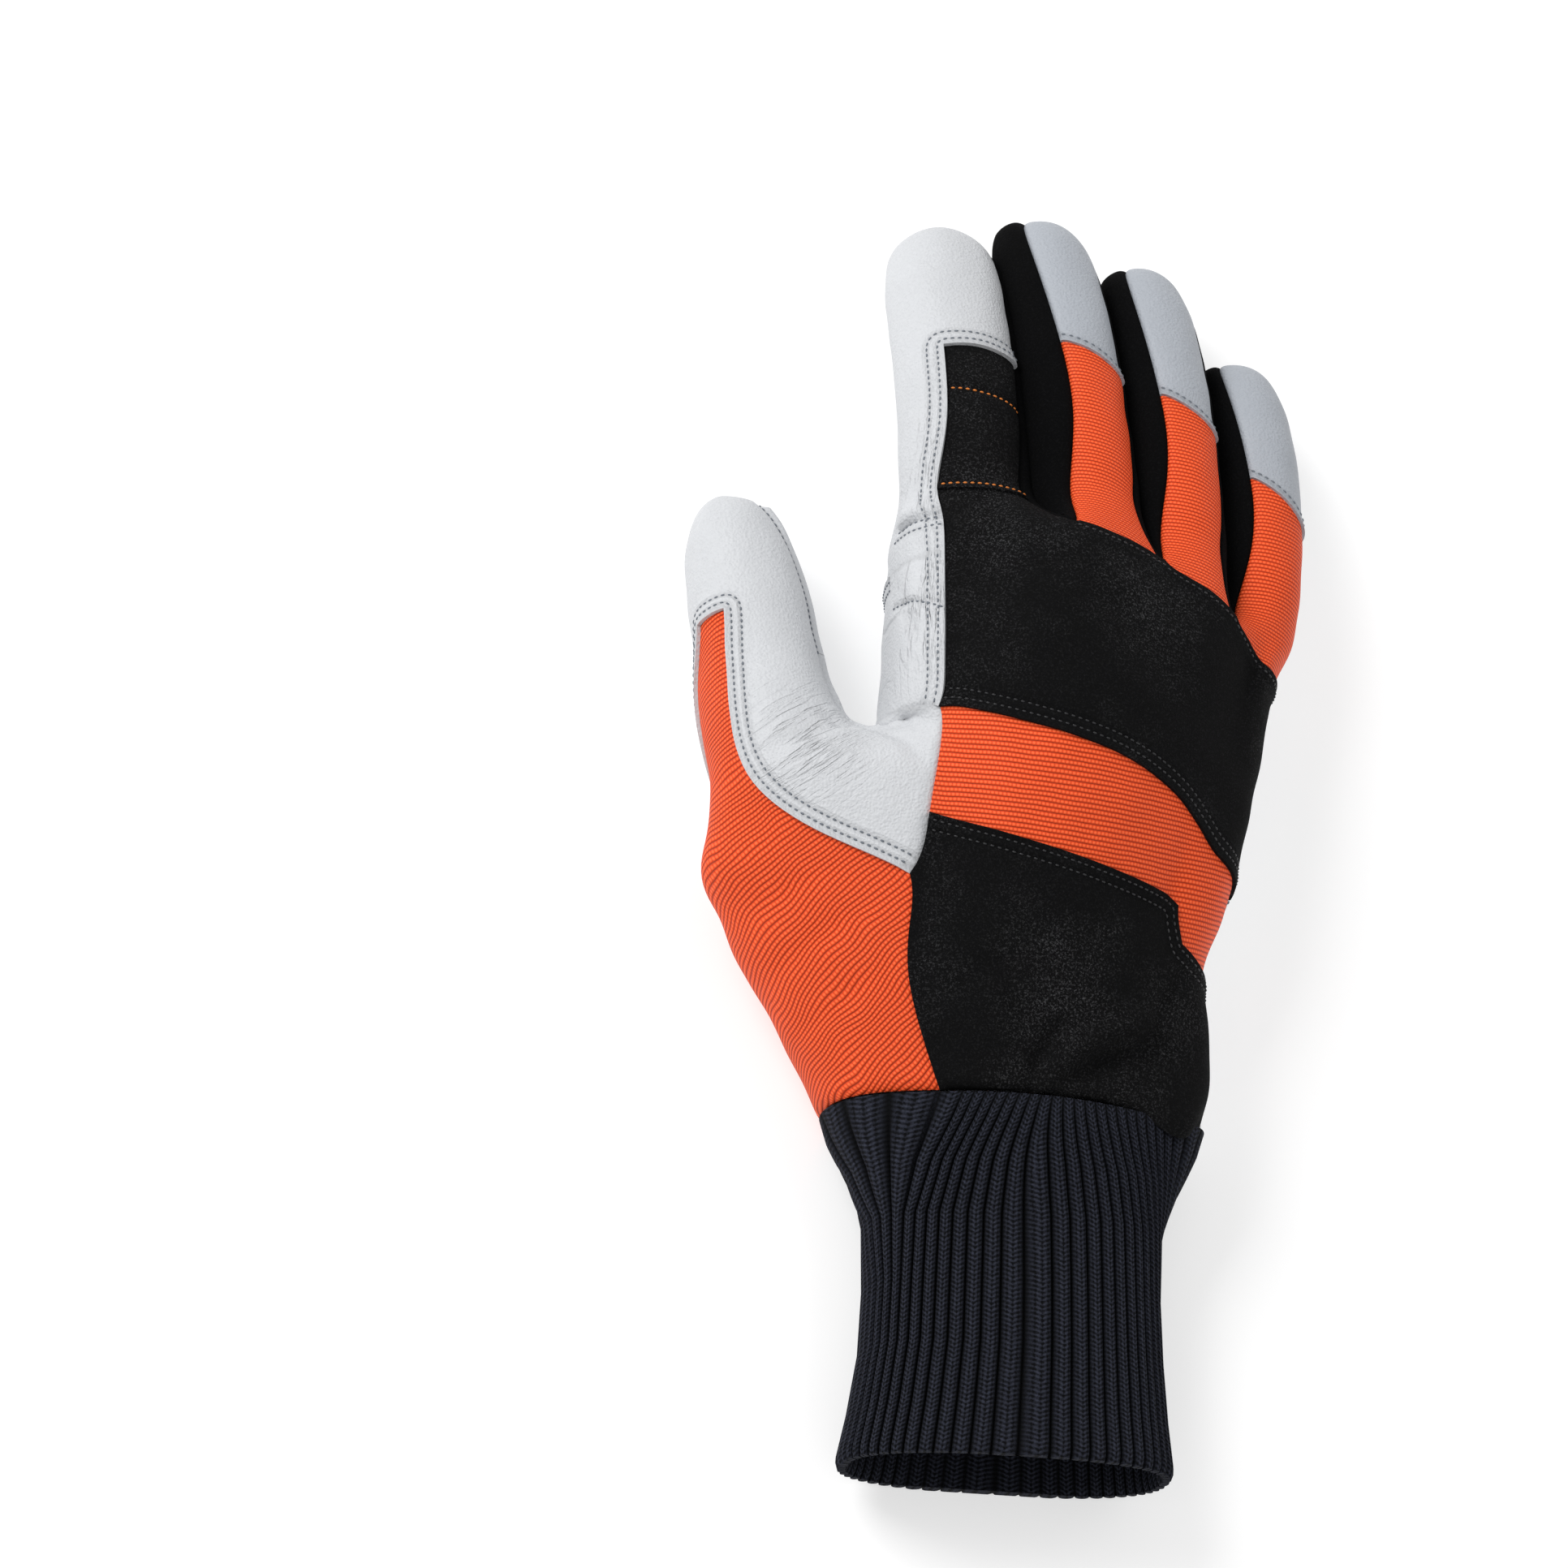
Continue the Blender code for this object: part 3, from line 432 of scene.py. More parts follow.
def finger_stations(finger):
    """Shares of the finger's length at its rings, with one at the edge of the leather tip."""
    below = [finger.cap * (i + 1) / ROWS_TO_CAP for i in range(ROWS_TO_CAP)]
    last = TIP_START + (1 - TIP_START) * LAST_RING_IN_TIP
    above = [finger.cap + (last - finger.cap) * math.sin(math.pi / 2 * (i + 1) / ROWS_IN_CAP)
             for i in range(ROWS_IN_CAP)]
    return below + above + [TIP_START + (1 - TIP_START) * END_RING_IN_TIP]


def finger_rings(finger):
    """The finger's rings of points from its root to the last one before the tip, and its tip."""
    root = place(finger.root_x, finger.root_y, finger.root_z)
    tip = place(finger.tip_x, finger.tip_y, finger.tip_z)
    bend = (root + tip) / 2 + np.array((finger.bow * FINGER_RADIUS * 2, 0, FINGER_ARCH * 2))
    rings = []
    for share in finger_stations(finger):
        centre = root * (1 - share) ** 2 + bend * 2 * share * (1 - share) + tip * share ** 2
        forward = (bend - root) * (1 - share) + (tip - bend) * share
        forward /= np.linalg.norm(forward)
        wide = finger.radius + (finger.tip_radius - finger.radius) * share
        into_tip = max(share - TIP_START, 0.0) / (1 - TIP_START)
        narrowing = math.sqrt(1 - into_tip ** TIP_ROUNDNESS)
        radius = FINGER_RADIUS * wide * narrowing
        depth = radius * finger.depth / finger.radius
        roll = finger.roll * smooth_step(share / ROLL_FULL)
        top = 90.0 - roll
        spread = TIP_SPREAD * (finger.slant > 0) * smooth_step((share - SPREAD_START) / (1 - SPREAD_START))
        corners = (top + BACK_SPAN / 2 + spread, top - BACK_SPAN / 2,
                   top - 180 + BACK_SPAN / 2, top - 180 - BACK_SPAN / 2)
        angles = seam_angles(corners)
        slant = FINGER_RADIUS * finger.slant * smooth_step(share / SLANT_FULL) * (1 - into_tip)
        rings.append([point - forward * slant * math.cos(angle) for point, angle
                      in zip(ring_points(centre, forward, radius, depth, angles), angles)])
    return rings, tip


def thumb_rings():
    """The thumb's rings of points from its base to the last one before the tip."""
    rings = []
    for row in THUMB:
        centre = place(row.across, row.along, row.up)
        heading = math.radians(90.0 + row.heading)
        forward = np.array((math.cos(heading), math.sin(heading), -THUMB_DROOP))
        forward /= np.linalg.norm(forward)
        corners = (row.gusset_back, row.inner, row.palm_inner, row.gusset_palm)
        radius, depth = THUMB_RADIUS * row.radius, THUMB_RADIUS * row.depth
        rings.append(ring_points(centre, forward, radius, depth, seam_angles(corners)))
    return rings


def thumb_base(cage, opening, first_ring):
    """A ring half way from the opening to the thumb's first ring, swollen at the ball of the thumb."""
    swelling = place(*THUMB_BASE_BULGE)
    middle_of_outer_side = 3.5 * SIDE_SEGMENTS
    ring = []
    for k, (corner, point) in enumerate(zip(opening, first_ring)):
        turn = (k - middle_of_outer_side) * 2 * math.pi / FINGER_RING
        ring.append((cage.points[corner] + point) / 2 + swelling * max(math.cos(turn), 0.0))
    return ring


def web_chain(cage, back, palm):
    """Points down the web between two fingers, from the back to the palm side."""
    top, bottom = cage.points[back], cage.points[palm]
    return cage.add_points([top + (bottom - top) * i / SIDE_SEGMENTS for i in range(1, SIDE_SEGMENTS)])


def build_cage():
    """The whole hand's coarse surface, open at the wrist. Returns it with the wrist's ring."""
    cage = Cage()
    grid = []
    for row in range(PALM_ROWS + 1):
        ring = palm_ring(row)
        dip_between_fingers(ring, max(0.0, 1 - row / VALLEY_ROWS))
        grid.append(cage.add_points(ring))
    for row in range(PALM_ROWS):
        for column in range(PALM_RING):
            after = (column + 1) % PALM_RING
            panel = palm_panel(row, column)
            if panel:
                corners = (grid[row][column], grid[row + 1][column], grid[row + 1][after], grid[row][after])
                cage.add_face(corners, panel)

    add_fingers(cage, grid)
    add_thumb(cage, grid)
    return cage, grid[PALM_ROWS]


def add_fingers(cage, grid):
    """Four fingers on the palm's first ring, with webs between them."""
    root = grid[0]
    n = SIDE_SEGMENTS
    radial_chain = root[RADIAL_COLUMN + 1:]
    for number, finger in enumerate(FINGERS):
        back = root[number * n:(number + 1) * n + 1]
        palm_start = RADIAL_COLUMN - (number + 1) * n
        palm = root[palm_start:palm_start + n + 1]
        if number < len(FINGERS) - 1:
            ulnar_chain = web_chain(cage, back[-1], palm[0])
        else:
            ulnar_chain = root[BACK_COLUMNS + 1:ULNAR_COLUMN]
        inner = back + ulnar_chain + palm + radial_chain
        rings, tip = finger_rings(finger)
        for row, ring in enumerate(rings):
            outer = cage.add_points(ring)
            cage.add_sleeve(outer, inner, lambda k: finger_panel(number, row, k))
            inner = outer
        cage.add_cap(inner, tip, lambda j, i: finger_cap_panel(number, j))
        radial_chain = ulnar_chain[::-1]


def add_thumb(cage, grid):
    """The thumb on the opening in the palm's thumb side."""
    rows = range(BAND_TOP_ROW, THUMB_END_ROW + 1)
    back = [grid[row][0] for row in reversed(rows)]
    inner_side = grid[BAND_TOP_ROW][RADIAL_COLUMN + 1:][::-1]
    palm = [grid[row][RADIAL_COLUMN] for row in rows]
    outer_side = grid[THUMB_END_ROW][RADIAL_COLUMN + 1:]
    inner = back + inner_side + palm + outer_side
    rings = thumb_rings()
    rings.insert(0, thumb_base(cage, inner, rings[0]))
    for row, ring in enumerate(rings):
        outer = cage.add_points(ring)
        cage.thumb_seam.append(outer[SIDE_SEGMENTS])
        cage.add_sleeve(outer, inner, lambda k: thumb_panel(row, k))
        inner = outer
    cage.add_cap(inner, place(*THUMB_TIP), lambda j, i: "thumb_leather")


def smooth_surface(cage, levels):
    """The cage after Catmull-Clark subdivision: points, normals, faces and each face's panel.

    With no levels the cage keeps its faces and its points move onto the smooth surface.
    """
    mesh = bpy.data.meshes.new("hand_form")
    mesh.from_pydata([tuple(point) for point in cage.points], [], cage.faces)
    for _ in PANEL_NAMES:
        mesh.materials.append(None)
    mesh.polygons.foreach_set("material_index", cage.panels)
    form = bpy.data.objects.new("hand_form", mesh)
    bpy.context.scene.collection.objects.link(form)
    subdivision = form.modifiers.new("smooth", "SUBSURF")
    subdivision.levels = subdivision.render_levels = max(levels, 1)
    subdivision.boundary_smooth = "PRESERVE_CORNERS"
    fine = bpy.data.meshes.new_from_object(form.evaluated_get(bpy.context.evaluated_depsgraph_get()))
    points = np.array([vertex.co for vertex in fine.vertices])
    if levels == 0:
        points = points[:len(cage.points)]
        faces, panels = list(cage.faces), list(cage.panels)
    else:
        faces = [tuple(face.vertices) for face in fine.polygons]
        panels = [face.material_index for face in fine.polygons]
    bpy.data.objects.remove(form)
    bpy.data.meshes.remove(fine)
    bpy.data.meshes.remove(mesh)
    return points, vertex_normals(points, faces), faces, panels


def vertex_normals(points, faces):
    """Normals of the points, each face weighted by its area."""
    normals = np.zeros_like(points)
    corners = np.array(faces)
    one_way = points[corners[:, 2]] - points[corners[:, 0]]
    crossed = np.cross(one_way, points[corners[:, 3]] - points[corners[:, 1]])
    for k in range(4):
        np.add.at(normals, corners[:, k], crossed)
    return normals / np.maximum(np.linalg.norm(normals, axis=1), SMALLEST)[:, None]


def rim_edges(faces):
    """The edges that only one face uses, each in that face's direction."""
    directed = {(face[k], face[(k + 1) % len(face)]) for face in faces for k in range(len(face))}
    return [(a, b) for a, b in directed if (b, a) not in directed]


def loop_point(loop, share):
    """A point at a share of the way round a closed loop of points, counted in points."""
    at = share * len(loop)
    low = int(math.floor(at)) % len(loop)
    part = at - math.floor(at)
    return loop[low] * (1 - part) + loop[(low + 1) % len(loop)] * part


def cuff_angles(loop):
    """The angle of each loop point about the loop's middle, seen along the arm, with no jumps."""
    middle = np.mean(loop, axis=0)
    return np.unwrap([math.atan2(p[2] - middle[2], p[0] - middle[0]) for p in loop])


# How panels meet. Each row shapes its pieces where they meet the named neighbours, or all of them for "any".
# lap raises the piece over its neighbour up to a square edge, and turn rolls its edge down into the seam.
# height and reach are in millimetres. side is -1 where that holds only under the hand, or 0.
Seam = namedtuple("Seam", ("pieces", "neighbours", "form", "height", "reach", "side"), defaults=(0,))
BACKS = ("middle_back", "ring_back", "little_back")
CAPS = ("middle_tip_cap", "ring_tip_cap", "little_tip_cap")
LEATHERS = ("finger_leather",) + CAPS + ("palm_leather", "thumb_leather")
GUSSETS = ("index_middle_fourchette", "middle_ring_fourchette", "ring_little_fourchette")
SUEDES = ("index_back_panel", "knuckle_panel", "wrist_panel")
SEAMS = (
    Seam(("finger_leather",), SUEDES, "lap", 1.1, 7.0),
    Seam(("finger_leather",), GUSSETS, "turn", 0.9, 2.2),
    Seam(("finger_leather",), BACKS, "turn", 0.9, 2.4),
    Seam(("finger_leather",), CAPS, "turn", 0.9, 2.4),
    Seam(("palm_leather",), ("knuckle_panel",), "lap", 1.1, 7.0),
    Seam(("palm_leather",), ("finger_leather",), "lap", 0.9, 6.0, -1),
    Seam(("palm_leather",), ("back_band", "knit_cuff"), "turn", 1.3, 2.8),
    Seam(("thumb_leather",), ("thumb_gusset",), "lap", 1.1, 7.0),
    Seam(("thumb_leather",), ("palm_leather",), "lap", 1.0, 5.0),
    Seam(("thumb_leather",), ("wrist_panel", "back_band"), "turn", 0.9, 2.2),
    Seam(("thumb_leather",), ("knit_cuff",), "turn", 1.3, 2.8),
    Seam(CAPS, BACKS, "lap", 0.8, 5.0),
    Seam(CAPS, GUSSETS, "turn", 0.9, 2.2),
    Seam(("index_back_panel",), ("knuckle_panel",), "lap", 0.9, 3.5),
    Seam(("index_back_panel",), GUSSETS, "turn", 0.9, 2.4),
    Seam(("knuckle_panel",), ("back_band",) + BACKS, "lap", 1.0, 6.0),
    Seam(("knuckle_panel",), GUSSETS, "turn", 0.7, 2.4),
    Seam(("wrist_panel",), ("back_band",), "lap", 1.0, 6.0),
    Seam(("wrist_panel",), ("thumb_gusset", "thumb_leather"), "lap", 0.7, 3.0),
    Seam(("wrist_panel",), ("knit_cuff",), "turn", 1.6, 3.6),
    Seam(BACKS, GUSSETS + ("finger_leather",), "turn", 0.9, 2.4),
    Seam(("back_band",), ("palm_leather", "knit_cuff"), "turn", 1.2, 2.8),
    Seam(("thumb_gusset",), ("palm_leather", "knit_cuff"), "turn", 1.2, 2.8),
    Seam(GUSSETS, ("any",), "turn", 0.8, 2.2),
)

# Padding: how far each panel swells between its seams, and how soon, in millimetres.
Swell = namedtuple("Swell", ("height", "reach"))
SWELLS = {
    "index_middle_fourchette": Swell(3.2, 4.0),
    "middle_ring_fourchette": Swell(1.2, 4.0),
    "ring_little_fourchette": Swell(1.0, 4.0),
    "finger_leather": Swell(0.5, 7.0),
    "palm_leather": Swell(1.0, 9.0),
    "thumb_leather": Swell(0.4, 8.0),
    "index_back_panel": Swell(0.8, 5.0),
    "knuckle_panel": Swell(0.9, 7.0),
    "wrist_panel": Swell(1.0, 7.0),
}

# Rows of stitches beside a seam, inset from it in millimetres. side is -1 where they show only under the hand.
EdgeStitches = namedtuple("EdgeStitches", ("pieces", "neighbours", "inset", "thread", "side"), defaults=(0,))
EDGE_STITCHES = (
    EdgeStitches(("finger_leather",), SUEDES, 1.7, "pale"),
    EdgeStitches(("finger_leather",), SUEDES, 4.6, "pale"),
    EdgeStitches(("palm_leather",), ("knuckle_panel",), 1.7, "pale"),
    EdgeStitches(("palm_leather",), ("knuckle_panel",), 4.6, "pale"),
    EdgeStitches(("palm_leather",), ("finger_leather",), 1.7, "pale", -1),
    EdgeStitches(("palm_leather",), ("finger_leather",), 4.2, "pale", -1),
    EdgeStitches(("thumb_leather",), ("thumb_gusset",), 1.8, "pale"),
    EdgeStitches(("thumb_leather",), ("thumb_gusset",), 4.3, "pale"),
    EdgeStitches(("thumb_leather",), ("palm_leather",), 1.7, "pale", -1),
    EdgeStitches(("thumb_leather",), ("palm_leather",), 4.2, "pale", -1),
    EdgeStitches(CAPS, BACKS, 2.0, "pale"),
    EdgeStitches(("index_back_panel",), ("knuckle_panel",), 1.4, "orange"),
    EdgeStitches(("knuckle_panel",), BACKS, 1.9, "black"),
    EdgeStitches(("knuckle_panel",), ("back_band",), 2.1, "black"),
    EdgeStitches(("knuckle_panel",), ("back_band",), 4.7, "black"),
    EdgeStitches(("wrist_panel",), ("back_band",), 1.7, "black"),
    EdgeStitches(("wrist_panel",), ("back_band",), 4.2, "black"),
)

# Straight sewn lines across a panel, seen from above or below. x and y are their middles and half is half their
# length, in millimetres; heading turns them from +X, in degrees; side is 1 on the back of the hand, -1 on the
# palm. depth and width are those of the groove, in millimetres.
Channel = namedtuple("Channel", ("piece", "x", "y", "heading", "half", "side", "depth", "width", "thread"))
CHANNELS = (
    Channel("finger_leather", -30.0, 69.5, -4.0, 14.0, 1, 1.7, 1.3, "pale"),
    Channel("finger_leather", -30.0, 66.3, -4.0, 14.0, 1, 0.2, 1.0, "pale"),
    Channel("palm_leather", -29.0, 44.0, -34.0, 7.5, 1, 0.3, 1.0, "pale"),
    Channel("index_back_panel", -12.0, 108.0, -8.0, 14.0, 1, 0.5, 1.0, "orange"),
    Channel("palm_leather", 4.0, 36.0, -10.0, 60.0, -1, 1.0, 1.6, "pale"),
    Channel("palm_leather", 4.0, 12.0, -8.0, 60.0, -1, 1.0, 1.6, "pale"),
    Channel("palm_leather", 4.0, -12.0, -4.0, 60.0, -1, 1.0, 1.6, "pale"),
    Channel("palm_leather", 4.0, -36.0, 0.0, 60.0, -1, 1.0, 1.6, "pale"),
)

# Creases pressed into the skin. x, y, half, depth and width are in millimetres, heading in degrees,
# and bend bows them sideways over their half length, in millimetres.
Crease = namedtuple("Crease", ("x", "y", "heading", "half", "side", "depth", "width", "bend"))
CREASES = (
    Crease(-57.0, 9.0, 32.0, 13.0, 1, 1.0, 0.9, 1.0),
    Crease(-56.0, 6.0, 30.0, 15.0, 1, 1.1, 0.9, 1.5),
    Crease(-54.0, 2.5, 34.0, 12.0, 1, 0.9, 0.9, 1.0),
    Crease(-50.0, 13.0, 150.0, 6.0, 1, 0.9, 1.2, 0.6),
    Crease(-34.0, 3.0, -55.0, 8.0, 1, 1.0, 1.5, 1.0),
    Crease(-37.5, 9.0, -40.0, 6.0, 1, 0.8, 1.3, -1.0),
    Crease(-31.5, 46.0, 96.0, 14.0, 1, 1.0, 0.9, 0.8),
    Crease(-35.0, 50.0, 88.0, 15.0, 1, 1.0, 0.9, -1.0),
    Crease(-28.0, 56.0, 92.0, 8.0, 1, 0.9, 0.8, 0.5),
    Crease(-37.0, 98.0, -20.0, 9.0, 1, 0.5, 1.2, 1.0),
    Crease(-33.0, 73.0, -4.0, 13.0, 1, -0.9, 2.2, 0.0),
    Crease(22.0, -76.0, 26.0, 19.0, 1, 2.8, 2.8, 3.0),
    Crease(23.0, -68.5, 28.0, 19.0, 1, -2.0, 3.0, 3.0),
    Crease(5.0, -74.0, 64.0, 12.0, 1, 2.4, 2.4, 2.0),
    Crease(37.0, -60.0, 66.0, 15.0, 1, 1.9, 2.8, 2.0),
    Crease(-3.0, -64.0, 112.0, 15.0, 1, 1.3, 3.2, 1.5),
    Crease(-14.0, -56.0, 30.0, 14.0, 1, 0.9, 4.0, 1.0),
    Crease(40.0, -25.0, 80.0, 14.0, 1, 0.9, 3.0, 1.0),
    Crease(30.0, 30.0, -50.0, 20.0, 1, 0.7, 5.0, 2.0),
    Crease(-52.0, -45.0, 35.0, 16.0, 1, 0.9, 2.2, 1.5),
    Crease(-46.0, -58.0, 38.0, 15.0, 1, 0.8, 2.0, -1.5),
    Crease(-58.0, -32.0, 30.0, 13.0, 1, 0.7, 2.2, 1.0),
    Crease(-10.0, 20.0, 5.0, 45.0, -1, 0.8, 2.0, 3.0),
    Crease(0.0, 55.0, -12.0, 60.0, -1, 0.9, 1.8, 2.0),
)

# Fine wrinkles drawn on the leather as sunk lines with painted shade in them: where they gather, how far out
# they reach, how strong they are and which way they run. x, y, z and reach are in millimetres, heading in
# degrees.
Wrinkle = namedtuple("Wrinkle", ("piece", "x", "y", "z", "reach", "strength", "heading"))
WRINKLES = (
    Wrinkle("thumb_leather", -57.0, 6.0, 49.0, 14.0, 0.5, 34.0),
    Wrinkle("palm_leather", -33.0, 44.0, 46.0, 19.0, 0.6, 88.0),
    Wrinkle("finger_leather", -33.0, 84.0, 44.0, 20.0, 0.3, 84.0),
)

# Places where a panel hangs over what is beside it: where, how far round, and which way and how far it is
# drawn, all in millimetres
Fold = namedtuple("Fold", ("piece", "x", "y", "z", "reach", "across", "along", "up"))
FOLDS = (
    Fold("wrist_panel", 40.0, -86.0, 33.0, 9.0, 1.0, -5.5, 2.0),
    Fold("wrist_panel", 50.0, -84.0, 26.0, 7.0, -2.0, 1.5, 0.0),
)

# The welt that stands along the thumb's inner seam, in millimetres
WELT_HEIGHT = 1.1
WELT_WIDTH = 1.1
WELT_VALLEY = 0.45
WELT_VALLEY_AT = 2.5 * WELT_WIDTH
WELT_STITCH_INSET = 2.3
WELT_STITCH_END = 38.0

# How closely wrinkles lie across and along themselves and how fast they drift, in waves a metre, and how
# thin their lines are
WRINKLE_ACROSS = 380.0
WRINKLE_ALONG = 45.0
WRINKLE_DRIFT = 60.0
WRINKLE_THINNESS = 16.0

# Slack in every panel: how far it rises and falls in millimetres, over what length in metres, and its seed
SLACK = 0.15
SLACK_SPAN = 0.016
SLACK_SEED = 11

# Which way the cords of the fabric run, how many millimetres one cord and one bead take up, how deep the
# grooves are and how far the cords sway from a straight line, in millimetres too, and the colour of the painted
# highlight on the cords' crests
Weave = namedtuple("Weave", ("way", "cord", "bead", "depth", "sway"))
WEAVES = {
    "middle_back": Weave((1.0, -0.15, 0.0), 1.10, 1.05, 0.22, 1.0),
    "ring_back": Weave((1.0, -0.15, 0.0), 1.10, 1.05, 0.22, 1.0),
    "little_back": Weave((1.0, -0.15, 0.0), 1.10, 1.05, 0.22, 1.0),
    "back_band": Weave((1.0, -0.12, 0.0), 1.25, 1.05, 0.26, 1.0),
    "thumb_gusset": Weave((0.72, 0.50, 0.40), 1.40, 1.05, 0.42, 6.0),
}
CORD_PAINTED_HIGHLIGHT = (1.0, 0.16, 0.045)

# The sewing threads: colour, roughness and the kind of material that each goes with
Thread = namedtuple("Thread", ("colour", "roughness", "slot"))
THREADS = {
    # The pale thread is given a mid grey-blue, darker than its own colour, as painted shade on its stitches
    "pale": Thread((0.17, 0.19, 0.22), 0.6, "leather"),
    "orange": Thread((0.75, 0.22, 0.03), 0.55, "orange_fabric"),
    "black": Thread((0.022, 0.022, 0.024), 0.35, "black_suede"),
}

# Sewing, in metres: how far from a seam the leather is darkened with painted shade, how far beside a thread it
# is darkened with painted shade too, and the width and depth of the dent under a row of stitches
SEAM_SHADE = 0.0014
THREAD_SHADE = 0.0009
DENT_WIDTH = 0.0015
DENT_DEPTH = 0.0006

# The cuff: points to a rib, how full a rib's round is, how far the hem draws in, in metres, over how many
# times that, how much of it the lining takes, how far the lining is pressed against the ribs, as a share of
# their depth, the length of a loop of the knit in metres, and the steps from one row of the table to the next
RIB_POINTS = 10
RIB_FULLNESS = 2.2
HEM_ROUND = 0.0010
HEM_REACH = 3.0
HEM_LINING = 0.6
LINING_PRESS = 0.7
KNIT_LOOP = 0.0012
CUFF_STEPS = 9

# How the tables are worked out. Distances are measured for CHUNK points at a time. FAR, in metres, stands for a
# point with no stitches near. The slopes and starts say how fast a row fades where the surface turns away.
# A channel's reach, a second row's inset and the margin beside other seams are in millimetres.
CHUNK = 400
FAR = 1.0
FACING_SLOPE = 4.0
FACING_START = 0.6
LYING_SLOPE = 8.0
CREASE_SLOPE = 3.0
UNDER_START = 0.35
CHANNEL_REACH = 3.0
SECOND_ROW = 3.0
SEAM_MARGIN = 1.0
LINE_SMOOTHING = 4
SHORTEST_LINE = 6
FINE_LEVELS = 3


def wave_field(points, wavelength, seed, waves=14):
    """A smooth random field between about -1 and 1, from waves in seeded directions."""
    source = np.random.default_rng(seed)
    field = np.zeros(len(points))
    for _ in range(waves):
        way = source.normal(size=3)
        way /= np.linalg.norm(way)
        stretch = source.uniform(0.7, 1.5)
        phase = source.uniform(0.0, 2 * math.pi)
        field += np.sin(points @ way * (2 * math.pi / (wavelength * stretch)) + phase)
    return field / math.sqrt(waves)


def segment_distance(points, starts, ends):
    """Distance of each point to the nearest of the segments."""
    along = ends - starts
    squared = np.maximum((along ** 2).sum(axis=1), SMALLEST)
    nearest = np.empty(len(points))
    for first in range(0, len(points), CHUNK):
        from_start = points[first:first + CHUNK, None, :] - starts[None]
        share = np.clip((from_start * along).sum(axis=2) / squared, 0.0, 1.0)
        gap = from_start - share[..., None] * along
        nearest[first:first + CHUNK] = np.sqrt((gap ** 2).sum(axis=2).min(axis=1))
    return nearest


class Patch:
    """One panel of the fine surface, with its own numbering."""

    def __init__(self, skin, name):
        number = PANEL_NAMES.index(name)
        mine = skin.faces[skin.panels == number]
        self.name = name
        used, local = np.unique(mine, return_inverse=True)
        self.faces = local.reshape(mine.shape)
        self.points = skin.points[used]
        self.normals = skin.normals[used]
        self.rims = skin.rims[name]
        self.skin = skin

    def rim_distance(self, neighbours):
        """Distance to the seams with the neighbours, or None where there is none."""
        names = self.rims if "any" in neighbours else [n for n in neighbours if n in self.rims]
        edges = [edge for name in names for edge in self.rims[name]]
        if not edges:
            return None
        edges = np.array(edges)
        starts, ends = self.skin.points[edges[:, 0]], self.skin.points[edges[:, 1]]
        return segment_distance(self.points, starts, ends)


class Skin:
    """The hand's whole fine surface in the frame of the part."""

    def __init__(self):
        cage, wrist = build_cage()
        points, normals, faces, panels = smooth_surface(cage, FINE_LEVELS)
        self.shift = frame_shift(cage, wrist)
        self.points = points + self.shift
        self.normals = normals
        self.faces = np.array(faces)
        self.panels = np.array(panels)
        self.thumb_seam = self.points[cage.thumb_seam]
        self.rims = self.find_rims()
        self.wrist = self.wrist_loop(wrist[0])
        self.patches = {}

    def find_rims(self):
        """For each panel, its rim edges by the piece on the other side."""
        owners = {}
        for face, panel in zip(self.faces.tolist(), self.panels.tolist()):
            for k in range(4):
                a, b = face[k], face[(k + 1) % 4]
                owners.setdefault((min(a, b), max(a, b)), []).append(panel)
        rims = {name: {} for name in PANEL_NAMES}
        self.open_edges = []
        for edge, panels in owners.items():
            if len(panels) == 1:
                rims[PANEL_NAMES[panels[0]]].setdefault("knit_cuff", []).append(edge)
                self.open_edges.append(edge)
            elif panels[0] != panels[1]:
                first, second = PANEL_NAMES[panels[0]], PANEL_NAMES[panels[1]]
                rims[first].setdefault(second, []).append(edge)
                rims[second].setdefault(first, []).append(edge)
        return rims

    def wrist_loop(self, start):
        """The points of the open wrist in order, the same way round as the cage's."""
        beside = {}
        for a, b in self.open_edges:
            beside.setdefault(a, []).append(b)
            beside.setdefault(b, []).append(a)
        first = max(beside[start], key=lambda k: self.points[k][0])
        loop = [start, first]
        while True:
            following = [k for k in beside[loop[-1]] if k != loop[-2]][0]
            if following == start:
                return loop
            loop.append(following)

    def patch(self, name):
        """One panel of the surface, worked out once."""
        if name not in self.patches:
            self.patches[name] = Patch(self, name)
        return self.patches[name]


def frame_shift(cage, wrist):
    """How far the cage is from the frame of the part, whose box is centred on the origin."""
    points, _, _, _ = smooth_surface(cage, 0)
    cuff, _, _ = cuff_tube([points[k] for k in wrist], 1, CUFF_RIBS * 2)
    used = sorted({k for face in cage.faces for k in face})
    corners = np.vstack([points[used], cuff])
    middle = (corners.min(axis=0) + corners.max(axis=0)) / 2
    return np.array((-middle[0], -middle[1], 0.0))


def facing(normals, side):
    """1 where the surface faces up for side 1, or down for side -1, and anywhere for 0."""
    if side == 0:
        return np.ones(len(normals))
    return np.clip(normals[:, 2] * side * FACING_SLOPE + FACING_START, 0.0, 1.0)


def line_offsets(points, row):
    """How far each point is across and along a straight or bowed line, in millimetres."""
    angle = math.radians(row.heading)
    x, y = points[:, 0] / MM - row.x, points[:, 1] / MM - row.y
    along = x * math.cos(angle) + y * math.sin(angle)
    across = -x * math.sin(angle) + y * math.cos(angle)
    return across, along


def welt_distance(patch):
    """How far each point is from the thumb's inner seam."""
    seam = patch.skin.thumb_seam
    return segment_distance(patch.points, seam[:-1], seam[1:])


def beside_welt(patch):
    """Where the stitches beside the thumb's inner seam run."""
    return patch.points[:, 1] > WELT_STITCH_END * MM


def lying(normals, row):
    """How fully each point lies on the side that a line runs along: 0 or 1, and between them near it."""
    start = UNDER_START if row.side < 0 else 0.0
    return np.clip((normals[:, 2] * row.side - start) * LYING_SLOPE, 0.0, 1.0)


